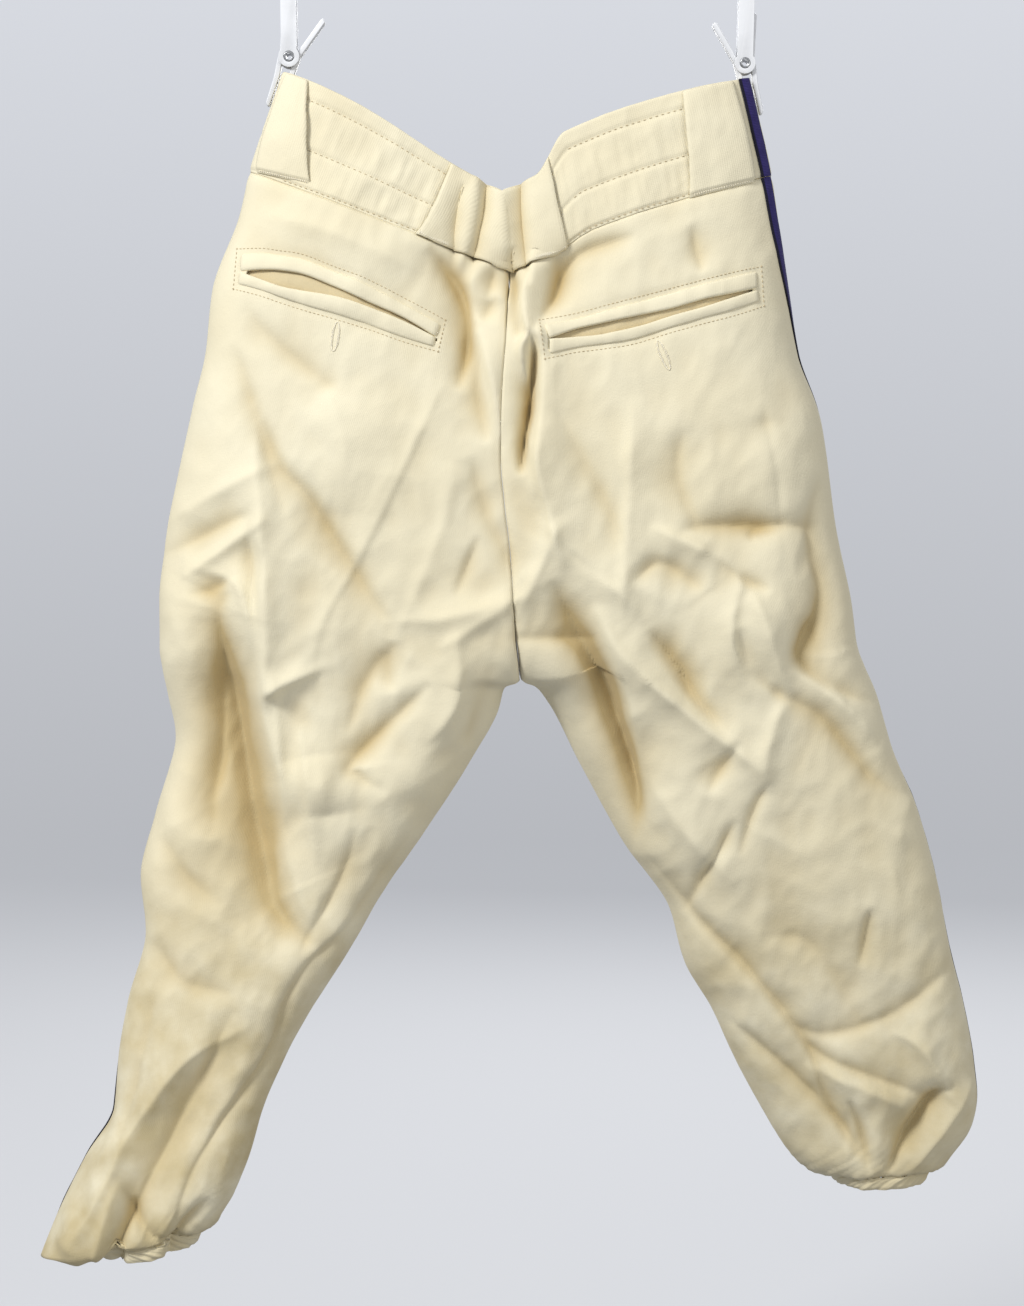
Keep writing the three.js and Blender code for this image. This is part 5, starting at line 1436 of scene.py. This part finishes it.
# ---------------------------------------------------------------- pockets
@dataclass
class Pockets:
    """The back pockets' welts, the facing behind each slit, and its button."""

    garment: Garment
    finishes: Finishes
    columns: int = 150
    profile: Pairs = (
        (0.0, -0.7), (0.03, 0.1), (0.08, 0.8), (0.2, 1.2), (0.5, 1.5), (0.8, 1.5), (0.92, 1.15),
        (0.98, 0.4), (1.0, -0.6), (0.98, -1.7), (0.93, -2.6),
    )  # fmt: skip
    facing_lift: float = -2.2

    def build(self) -> list[Piece]:
        """Builds both pockets."""
        return [piece for hand in Hand for piece in self.pocket(hand)]

    def welt(self, hand: Hand, name: str, edge: str, lip: str) -> Piece:
        """Builds one welt: folded cloth from the sewn edge to the lip, rolled in at the lip."""
        cut = POCKETS[hand]
        share = np.linspace(0, 1, self.columns + 1)
        outer_x, outer_z = cut.curve(edge, share)
        lip_x, lip_z = cut.curve(lip, share)
        across, lift = np.array(self.profile).T[..., None]
        x, z = lerp(outer_x, lip_x, across), lerp(outer_z, lip_z, across)
        ends = np.minimum(share, 1 - share)[None] * 160
        lift = lift - 0.9 * bell(ends, 1.4) + 0.25 * SoftNoise(44, 14, 6)(x, z)
        # Painted shade: the welt is tinted darker where it dips below the cloth round it, at its sewn edge,
        # lip and ends.
        fold = np.broadcast_to(np.clip(-lift / 2.6, 0, 1), x.shape)
        grid = Grid.of(*self.garment.at(x, z)).lifted(np.broadcast_to(lift, x.shape))
        piece = shell(f"pocket_{hand.value}_{name}_cloth", grid, STRIP * 0.6, self.finishes.knit,
                      {"fold": fold})  # fmt: skip
        dressed(piece, "cloth", f"pocket_{hand.value}_{name}")
        return piece

    def facing(self, hand: Hand) -> Piece:
        """Builds the cloth that shows behind the slit."""
        cut = POCKETS[hand]
        share = np.linspace(0.01, 0.99, self.columns + 1)
        top_x, top_z = cut.curve("top", share)
        low_x, low_z = cut.curve("bottom", share)
        across = np.linspace(0.12, 0.88, 16)[:, None]
        x, z = lerp(top_x, low_x, across), lerp(top_z, low_z, across)
        grid = Grid.of(*self.garment.at(x, z))
        bulge = 1.9 * np.sin(np.pi * across) ** 2 * np.sin(np.pi * share)[None] ** 0.6
        lift = self.facing_lift - 1.7 + bulge
        # Painted shade: the whole facing takes most of the shade tint, as it lies recessed behind the slit.
        piece = shell(f"pocket_{hand.value}_facing_cloth", grid.lifted(lift), 1.0, self.finishes.knit,
                      {"fold": np.full(x.shape, 0.9)})  # fmt: skip
        dressed(piece, "cloth", f"pocket_{hand.value}_facing")
        return piece

    def pocket(self, hand: Hand) -> list[Piece]:
        """Builds one pocket."""
        pieces = [
            self.welt(hand, "welt_upper", "top", "upper_lip"),
            self.welt(hand, "welt_lower", "bottom", "lower_lip"),
            self.facing(hand),
        ]
        node = f"pocket_{hand.value}_button"
        button = moulded_copy(node, self.finishes.button, 0.5, 4.0 if hand is Hand.RIGHT else 1.0)
        dressed(button, "button", node)
        return [*pieces, button]


# ---------------------------------------------------------------- braid and hems
@dataclass
class Trims:
    """The navy braid on the side seams and the elastic casings of the hems."""

    garment: Garment
    finishes: Finishes
    braid_foot: float = AT["hemTop"] - 1.55
    hem_gather: float = 0.9

    def build(self) -> list[Piece]:
        """Builds the braid and the hems of both sides."""
        pieces = []
        for hand in Hand:
            pieces.append(self.braid(hand, "band", 0.0, BAND_FOOT, 60, BAND_PROUD))
            pieces.append(self.braid(hand, "leg", LEG_TOP, self.braid_foot, 520, 0.0))
            pieces.append(self.hem(hand))
        return pieces

    def braid(
        self, hand: Hand, name: str, start: float, end: float, rows: int, under: float
    ) -> Piece:
        """Builds one run of braid along the side seam.

        Args:
            hand: The wearer's side.
            name: Which run it is.
            start: v of its upper end.
            end: v of its lower end.
            rows: How many steps it has.
            under: How far the cloth under it stands out.

        Returns:
            The braid.
        """
        side = self.garment.sides[hand]
        v = np.linspace(start, end, rows + 1)[:, None]
        across = np.linspace(-1, 1, 13)[None]
        step = 0.01
        near, far = side.points(v, 0.3), side.points(v, 0.3 - step)
        half = BRAID_WIDTH / 2 * step / np.linalg.norm(near - far, axis=-1)
        angle = np.radians(side["seam"](v)) + across * half
        points, normals = self.garment.place(hand, np.broadcast_to(v, angle.shape), angle)
        rim = -0.5 * np.abs(np.broadcast_to(across, angle.shape)) ** 6
        lift = under + 0.35 + STRIP + rim
        grid = Grid.of(points, normals).lifted(lift)
        grid.uv = np.stack([np.broadcast_to(across, angle.shape), grid.uv[..., 1]], -1)
        piece = shell(f"braid_{name}_{hand.value}_tape", grid, STRIP, self.finishes.braid)
        dressed(piece, "braid", f"braid_{name}_{hand.value}")
        return piece

    def hem(self, hand: Hand) -> Piece:
        """Builds the elastic casing round one hem, with gathers all round."""
        angle = np.linspace(-np.pi + 0.007, np.pi - 0.007, 361)[None]
        v = np.linspace(HEM_TOP, AT["hemEnd"], 26)[:, None]
        shape = np.broadcast_shapes(v.shape, angle.shape)
        v, angle = np.broadcast_to(v, shape), np.broadcast_to(angle, shape)
        points, normals = self.garment.place(hand, v, angle)
        around, down = Grid.lengths(points, 1), Grid.lengths(points, 0)
        gather = SoftNoise(12 if hand is Hand.LEFT else 17, 5.6, 60)(around, down)
        ends = np.minimum(down, down[-1:, :] - down)
        lift = BAND_PROUD + self.hem_gather * gather - bell(ends, 1.6)
        # The casing takes most of the tint that stands for yellowing with age and painted shade low on the
        # legs.
        piece = shell(f"hem_{hand.value}_casing", Grid.of(points, normals).lifted(lift), BAND * 0.8,
                      self.finishes.knit, {"age": np.full(shape, 0.9)})  # fmt: skip
        dressed(piece, "cloth", f"hem_{hand.value}")
        return piece


# ---------------------------------------------------------------- stitches
class StitchTree:
    """A Geometry Nodes tree that lays thread along the edges of a mesh, one stitch at a time."""

    INPUTS = {"Spacing": 0.0028, "Stitch Length": 0.0019, "Thread Radius": 0.00028}

    def __init__(self, material: Material) -> None:
        """Builds the tree.

        Args:
            material: The thread's material.
        """
        tree = bpy.data.node_groups.new("lay_stitches", "GeometryNodeTree")
        self.tree = tree
        tree.interface.new_socket("Geometry", in_out="INPUT", socket_type="NodeSocketGeometry")
        self.sockets = {}
        for name, value in self.INPUTS.items():
            socket = tree.interface.new_socket(name, in_out="INPUT", socket_type="NodeSocketFloat")
            socket.default_value = value
            self.sockets[name] = socket.identifier
        tree.interface.new_socket("Geometry", in_out="OUTPUT", socket_type="NodeSocketGeometry")
        add, link = tree.nodes.new, tree.links.new
        source, result = add("NodeGroupInput"), add("NodeGroupOutput")
        curve, even = add("GeometryNodeMeshToCurve"), add("GeometryNodeResampleCurve")
        even.mode = "LENGTH"
        tangent, turn = add("GeometryNodeInputTangent"), add("FunctionNodeAlignRotationToVector")
        turn.axis = "Z"
        ball, stretch = add("GeometryNodeMeshIcoSphere"), add("ShaderNodeCombineXYZ")
        ball.inputs["Radius"].default_value = 1.0
        ball.inputs["Subdivisions"].default_value = 1
        half = add("ShaderNodeMath")
        half.operation = "MULTIPLY"
        half.inputs[1].default_value = 0.5
        spread, real = add("GeometryNodeInstanceOnPoints"), add("GeometryNodeRealizeInstances")
        smooth, paint = add("GeometryNodeSetShadeSmooth"), add("GeometryNodeSetMaterial")
        paint.inputs["Material"].default_value = material
        for giver, output, taker, entry in (
            (source, "Geometry", curve, "Mesh"), (curve, "Curve", even, "Curve"),
            (source, "Spacing", even, "Length"), (tangent, "Tangent", turn, "Vector"),
            (source, "Stitch Length", half, 0), (source, "Thread Radius", stretch, "X"),
            (source, "Thread Radius", stretch, "Y"), (half, 0, stretch, "Z"),
            (even, "Curve", spread, "Points"), (ball, "Mesh", spread, "Instance"),
            (turn, "Rotation", spread, "Rotation"), (stretch, "Vector", spread, "Scale"),
            (spread, "Instances", real, "Geometry"), (real, "Geometry", smooth, "Geometry"),
            (smooth, "Geometry", paint, "Geometry"), (paint, "Geometry", result, "Geometry"),
        ):  # fmt: skip
            link(giver.outputs[output], taker.inputs[entry])

    def sew(self, name: str, lines: Sequence[Array], **sizes: float) -> Piece:
        """Sews along lines of points, and returns the stitches as a plain mesh.

        Args:
            name: The piece's name.
            lines: The lines, each an array of points in millimetres.
            sizes: Inputs of the tree, by name with _ for a space.

        Returns:
            The stitches.
        """
        points, edges = [], []
        for line in lines:
            first = len(points)
            points += (line * MM).tolist()
            edges += [(first + k, first + k + 1) for k in range(len(line) - 1)]
        path = bpy.data.meshes.new(name + "_path")
        path.from_pydata(points, edges, [])
        carrier = linked(name + "_path", path)
        modifier = carrier.modifiers.new("stitches", "NODES")
        modifier.node_group = self.tree
        for key, value in sizes.items():
            modifier[self.sockets[key.replace("_", " ")]] = value
        evaluated = carrier.evaluated_get(bpy.context.evaluated_depsgraph_get())
        mesh = bpy.data.meshes.new_from_object(evaluated)
        carrier.modifiers.clear()
        bpy.data.objects.remove(carrier)
        bpy.data.meshes.remove(path)
        mesh.name = name
        return linked(name, mesh)


@dataclass
class Stitching:
    """Every row of stitches that shows: quilting, pocket rows, buttonholes, tacks and topstitching."""

    garment: Garment
    finishes: Finishes
    band: Waistband
    strips: LaidStrips

    def build(self) -> list[Piece]:
        """Sews every row, joined by the kind of thread."""
        rows, tacks = StitchTree(self.finishes.thread), StitchTree(self.finishes.tack)
        pieces = [
            rows.sew("pocket_stitches", self.pocket_rows(), Spacing=0.0031, Stitch_Length=0.0021,
                     Thread_Radius=0.00031),
            rows.sew("band_stitches", self.quilt_lines(), Spacing=0.0042, Stitch_Length=0.0023,
                     Thread_Radius=0.00026),
            rows.sew("front_stitches", self.front_rows(), Spacing=0.003, Stitch_Length=0.002,
                     Thread_Radius=0.00027),
            tacks.sew("tack_stitches", self.tacks(), Spacing=0.0009, Stitch_Length=0.0013,
                      Thread_Radius=0.0003),
        ]  # fmt: skip
        slots = ("cloth", "waistband", "cloth", "cloth")
        return [dressed(piece, slot) for piece, slot in zip(pieces, slots)]

    def on_back(self, x: Array, z: Array, lift: float) -> Array:
        """Points just over the back, at points of the plane."""
        points, normals = self.garment.at(x, z)
        return points + normals * lift

    def pocket_rows(self) -> list[Array]:
        """Rows round each pocket, with short bars at its ends."""
        lines = []
        share = np.linspace(0, 1, 90)
        for cut in POCKETS.values():
            top, bottom = cut.curve("stitch_top", share), cut.curve("stitch_bottom", share)
            lines += [self.on_back(*top, 0.2), self.on_back(*bottom, 0.2)]
            for end in (0, -1):
                down = np.linspace(0, 1, 14)
                x = lerp(top[0][end], bottom[0][end], down)
                z = lerp(top[1][end], bottom[1][end], down)
                lines.append(self.on_back(x, z, 0.2))
        return lines

    def quilt_lines(self) -> list[Array]:
        """The waistband's rows, on the back between the loops and the tunnel."""
        lines = []
        ranges = {Hand.LEFT: (0.14, 0.74), Hand.RIGHT: (0.3, 0.74)}
        for hand, (start, end) in ranges.items():
            side = self.garment.sides[hand]
            for share_down in self.band.quilt_rows:
                v = np.full(160, share_down * BAND_FOOT)
                angle = side.angle(v, np.linspace(start, end, 160))
                points, normals = self.garment.place(hand, v, angle)
                lines.append(points + normals * (BAND_PROUD - self.band.quilt_depth + 0.35))
        return lines

    def front_rows(self) -> list[Array]:
        """The fly's J row, and the rows of the waistband's tab."""
        j = np.linspace(0, 1, 120)
        v, edge = self.strips.fly_edge(j, 5.0)
        points, normals = self.garment.place(Hand.LEFT, v, -self.garment.sides[Hand.LEFT].angle(v, edge))
        lines = [points + normals * (LAY_GAP + STRIP + 0.1)]
        side = self.garment.sides[Hand.RIGHT]
        for inset in (4.0, 32.0):
            v = lerp(0.08, AT["waistSeam"] - 0.08, j)
            reach = self.strips.before_centre(side, v, inset)
            points, normals = self.garment.place(Hand.RIGHT, v, -side.angle(v, reach))
            lines.append(points + normals * (BAND_TOP_LIFT + 0.1))
        return lines

    def zigzag(self, hand: Hand, v: Array, angle: Array, lift: float, height: float) -> Array:
        """A zigzag tack along a line of places on the garment."""
        points, normals = self.garment.place(hand, v, angle)
        down = unit(np.gradient(points, axis=0))
        beside = unit(np.cross(normals, down))
        swing = np.where(np.arange(len(points)) % 2 == 0, 0.5, -0.5)[:, None]
        return points + normals * lift + beside * swing * height

    def tacks(self) -> list[Array]:
        """Bar tacks on the loops and the tunnel, and the buttonholes' satin stitch."""
        lines = []
        for loop in self.strips.loops.values():
            across = np.linspace(0.06, 0.94, 52)
            v, angle = loop.places(self.garment.sides[loop.hand], across, np.full(52, 0.955))
            lines.append(self.zigzag(loop.hand, v, angle, BAND_TOP_LIFT - 0.9, 2.2))
        for hand, (_, foot) in (
            (Hand.LEFT, self.strips.tunnel_left), (Hand.RIGHT, self.strips.tunnel_right)
        ):  # fmt: skip
            v = np.full(30, AT["waistSeam"] - 0.03)
            angle = self.garment.sides[hand].angle(v, 1 - foot + np.linspace(0.012, 0.12, 30))
            lines.append(self.zigzag(hand, v, angle, BAND_TOP_LIFT + 0.5, 1.8))
        turn = np.linspace(0, 2 * np.pi, 121)
        for cut in POCKETS.values():
            (x0, z0), (x1, z1) = cut.buttonhole
            centre = np.array([(x0 + x1) / 2, (z0 + z1) / 2])
            run = np.array([x1 - x0, z1 - z0]) / 2
            beside = np.array([-run[1], run[0]]) / np.linalg.norm(run)
            swing = np.where(np.arange(len(turn)) % 2 == 0, 2.9, 1.5)[:, None]
            ring = centre + np.cos(turn)[:, None] * run + np.sin(turn)[:, None] * beside * swing
            lines.append(self.on_back(ring[:, 0], ring[:, 1], 0.35))
        return lines


# ---------------------------------------------------------------- hanger
def moulded_copy(
    node: str, material: Material, bevel: float, sink: float = 0.0
) -> Piece:
    """Copies a CAD node, merges its loose faces and rounds its edges.

    Args:
        node: The node's name.
        material: The copy's material.
        bevel: Width of the rounding, in millimetres.
        sink: How far it is set into the cloth, in millimetres.

    Returns:
        The copy.
    """
    source = bpy.data.objects[node]
    work = bmesh.new()
    work.from_mesh(source.data)
    bmesh.ops.remove_doubles(work, verts=work.verts, dist=1e-5)
    flat = [e for e in work.edges if len(e.link_faces) == 2 and e.calc_face_angle(0) < math.radians(1)]
    bmesh.ops.dissolve_edges(work, edges=flat, use_verts=True)
    bmesh.ops.recalc_face_normals(work, faces=work.faces)
    bmesh.ops.translate(work, verts=work.verts, vec=Vector((0, sink * MM, 0)))
    mesh = bpy.data.meshes.new(f"{node}_moulded")
    work.to_mesh(mesh)
    work.free()
    mesh.materials.clear()
    mesh.materials.append(material)
    mesh.polygons.foreach_set("use_smooth", [True] * len(mesh.polygons))
    piece = linked(f"{node}_moulded", mesh)
    rounding = piece.modifiers.new("rounding", "BEVEL")
    rounding.width = bevel * MM
    rounding.segments = 3
    rounding.limit_method = "ANGLE"
    rounding.angle_limit = math.radians(28)
    rounding.harden_normals = True
    return piece


@dataclass
class ClipHanger:
    """The two spring pegs with their bails, and the hanger's bar and hook."""

    finishes: Finishes
    bevel: float = 0.7

    def build(self) -> list[Piece]:
        """Builds the moulded and steel pieces."""
        pieces = []
        for hand in Hand:
            for part in ("arm_outer", "arm_inner", "bail"):
                node = f"peg_{hand.value}_{part}"
                arm = moulded_copy(node, self.finishes.clip, self.bevel)
                pieces.append(dressed(arm, "clip_plastic", node))
            node = f"peg_{hand.value}_spring"
            pieces.append(dressed(moulded_copy(node, self.finishes.steel, 0.25), "steel", node))
        pieces.append(dressed(moulded_copy("hanger_bar", self.finishes.clip, self.bevel), "clip_plastic",
                              "hanger_bar"))  # fmt: skip
        pieces.append(dressed(self.hook(), "steel", "hanger_hook"))
        return pieces

    def hook(self) -> Piece:
        """Builds the hook's wire as a round tube with a domed tip."""
        wire, bend = 2.0, 22.0
        foot, neck = -84.5, -56.0
        stem = [np.array([0, z]) for z in np.linspace(foot, neck, 8)]
        centre = np.array([0, wire - bend])
        tip_angles = np.radians(np.linspace(-20, 205, 60))
        arc = [centre + bend * np.array([math.cos(a), math.sin(a)]) for a in tip_angles]
        b = [np.array([0, neck]), np.array([0, -44.0]), np.array([bend * 0.95, -45.0]), arc[0]]
        lean = [
            (1 - t) ** 3 * b[0] + 3 * (1 - t) ** 2 * t * b[1] + 3 * (1 - t) * t * t * b[2] + t**3 * b[3]
            for t in np.linspace(0, 1, 24)[1:-1]
        ]
        path = np.array(stem + lean + arc)
        along = unit(np.gradient(path, axis=0))
        beside = np.stack([-along[:, 1], along[:, 0]], -1)
        turns = np.linspace(0, 2 * np.pi, 24, endpoint=False)
        radius = np.full(len(path), wire)
        extra = [(0.55, 0.92), (0.85, 0.6), (0.98, 0.2)]
        for reach, share in extra:
            path = np.vstack([path, arc[-1] + along[-1] * wire * reach])
            beside = np.vstack([beside, beside[-1]])
            radius = np.append(radius, wire * share)
        rings = [
            [(p[0] + s[0] * r * math.cos(t), r * math.sin(t), p[1] + s[1] * r * math.cos(t)) for t in turns]
            for p, s, r in zip(path, beside, radius)
        ]
        vertices = np.array(rings).reshape(-1, 3)
        count = len(turns)
        index = np.arange(len(vertices)).reshape(-1, count)
        quads = np.stack(cell_corners(np.hstack([index, index[:, :1]])), -1)
        faces = [*quads.reshape(-1, 4).tolist(), index[0, ::-1].tolist(), index[-1].tolist()]
        piece = make_mesh("hanger_hook_wire", vertices, faces, self.finishes.steel)
        work = bmesh.new()
        work.from_mesh(piece.data)
        bmesh.ops.recalc_face_normals(work, faces=work.faces)
        work.to_mesh(piece.data)
        work.free()
        return piece


# ---------------------------------------------------------------- studio
@dataclass
class Studio:
    """The camera, the soft lights and the plain pale floor that curves up all round."""

    target: tuple[float, float, float] = (-0.003, 0.0, -0.564)
    distance: float = 2.0
    elevation: float = 4.0
    lens: float = 77.18
    floor: float = -1.32
    room: float = 7.0
    height: float = 7.0
    glow: float = 0.4

    def build(self) -> None:
        """Makes the camera, the lights, the world and the floor."""
        self.camera()
        self.light("key", (-1.85, -1.95, 1.5), 0.8, 94, (1.0, 1.0, 1.0))
        self.light("fill", (2.2, -2.6, 0.4), 1.8, 30, (1.0, 0.98, 0.93))
        self.light("back", (0.4, 2.6, 0.8), 1.8, 42, (1.0, 1.0, 1.0))
        bpy.context.scene.view_settings.view_transform = "Standard"
        world = bpy.data.worlds.new("studio")
        world.use_nodes = True
        backdrop = world.node_tree.nodes["Background"]
        backdrop.inputs["Color"].default_value = (0.90, 0.93, 1.0, 1)
        backdrop.inputs["Strength"].default_value = 0.38
        bpy.context.scene.world = world
        self.backdrop()

    def camera(self) -> None:
        """Places the camera level with the garment's middle, a little above it."""
        tilt = math.radians(self.elevation)
        x, y, z = self.target
        data = bpy.data.cameras.new("camera")
        data.lens = self.lens
        data.sensor_width = 36
        camera = linked("camera", data)
        camera.location = (x, y - self.distance * math.cos(tilt), z + self.distance * math.sin(tilt))
        camera.rotation_euler = (math.radians(90 - self.elevation), 0, 0)
        bpy.context.scene.camera = camera

    def light(self, name: str, place: tuple, size: float, power: float, colour: Colour) -> None:
        """Adds a soft square light that looks at the garment."""
        data = bpy.data.lights.new(name, "AREA")
        data.size, data.energy, data.color = size, power, colour
        lamp = linked(name, data)
        lamp.location = place
        lamp.rotation_euler = (Vector(self.target) - Vector(place)).to_track_quat("-Z", "Y").to_euler()

    def backdrop(self) -> None:
        """Makes the floor, which curves up into a wall all round, with painted shade that darkens it towards
        the bottom.
        """
        n = Nodes("pale_floor")
        colour = n.mix((0.80, 0.81, 0.83), (0.82, 0.83, 0.85), n.noise(0.8, 2))
        # Painted shade: the colour darkens from the wall down to the floor, so that the wall looks brighter.
        low = n.ramp(n.maths("MULTIPLY", n.across("Object", "Z"), -1.0), -1.0, 1.32)
        n.shade(Base_Color=n.mix(colour, (0.36, 0.363, 0.37), low), Roughness=0.95, Specular_IOR_Level=0.1)
        n.shade(Emission_Color=(0.8, 0.82, 0.87), Emission_Strength=self.glow)
        bend = 2.5
        flat = self.room - bend
        profile = [(0.0, 0.0), (flat * 0.5, 0.0), (flat, 0.0)]
        for a in np.radians(np.linspace(6, 90, 15)):
            profile.append((flat + bend * math.sin(a), bend * (1 - math.cos(a))))
        profile.append((self.room, self.height))
        turns = 72
        vertices = [(0.0, 0.0, self.floor)]
        for radius, rise in profile[1:]:
            for k in range(turns):
                a = 2 * math.pi * k / turns
                vertices.append((radius * math.cos(a), radius * math.sin(a), self.floor + rise))
        faces = [(0, 1 + k, 1 + (k + 1) % turns) for k in range(turns)]
        for ring in range(len(profile) - 2):
            a, b = 1 + ring * turns, 1 + (ring + 1) * turns
            faces += [(a + k, b + k, b + (k + 1) % turns, a + (k + 1) % turns) for k in range(turns)]
        floor = make_mesh("studio_floor", np.array(vertices) / MM, faces, n.material)
        floor.visible_shadow = False
        floor.visible_diffuse = False
        floor.visible_glossy = False
        floor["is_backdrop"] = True


def corners(box: tuple) -> list[list[float]]:
    """A box's two corners as plain lists."""
    return [[float(value) for value in corner] for corner in box]


def main() -> None:
    """Builds the garment, its hanger and the studio."""
    logging.basicConfig(level=logging.INFO, format="%(name)s: %(message)s")
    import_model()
    cad_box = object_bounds()
    Studio().build()
    garment = Garment()
    finishes = Finishes()
    band = Waistband(garment, finishes)
    strips = LaidStrips(garment, finishes)
    builders = [
        LegPanels(garment, finishes),
        band,
        strips,
        Pockets(garment, finishes),
        Trims(garment, finishes),
        Stitching(garment, finishes, band, strips),
        ClipHanger(finishes),
    ]
    for builder in builders:
        for piece in builder.build():
            LOG.info("%s: %d faces", piece.name, len(piece.data.polygons))
    {"cad": corners(cad_box), "visual": corners(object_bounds())}


if __name__ == "__main__":
    main()
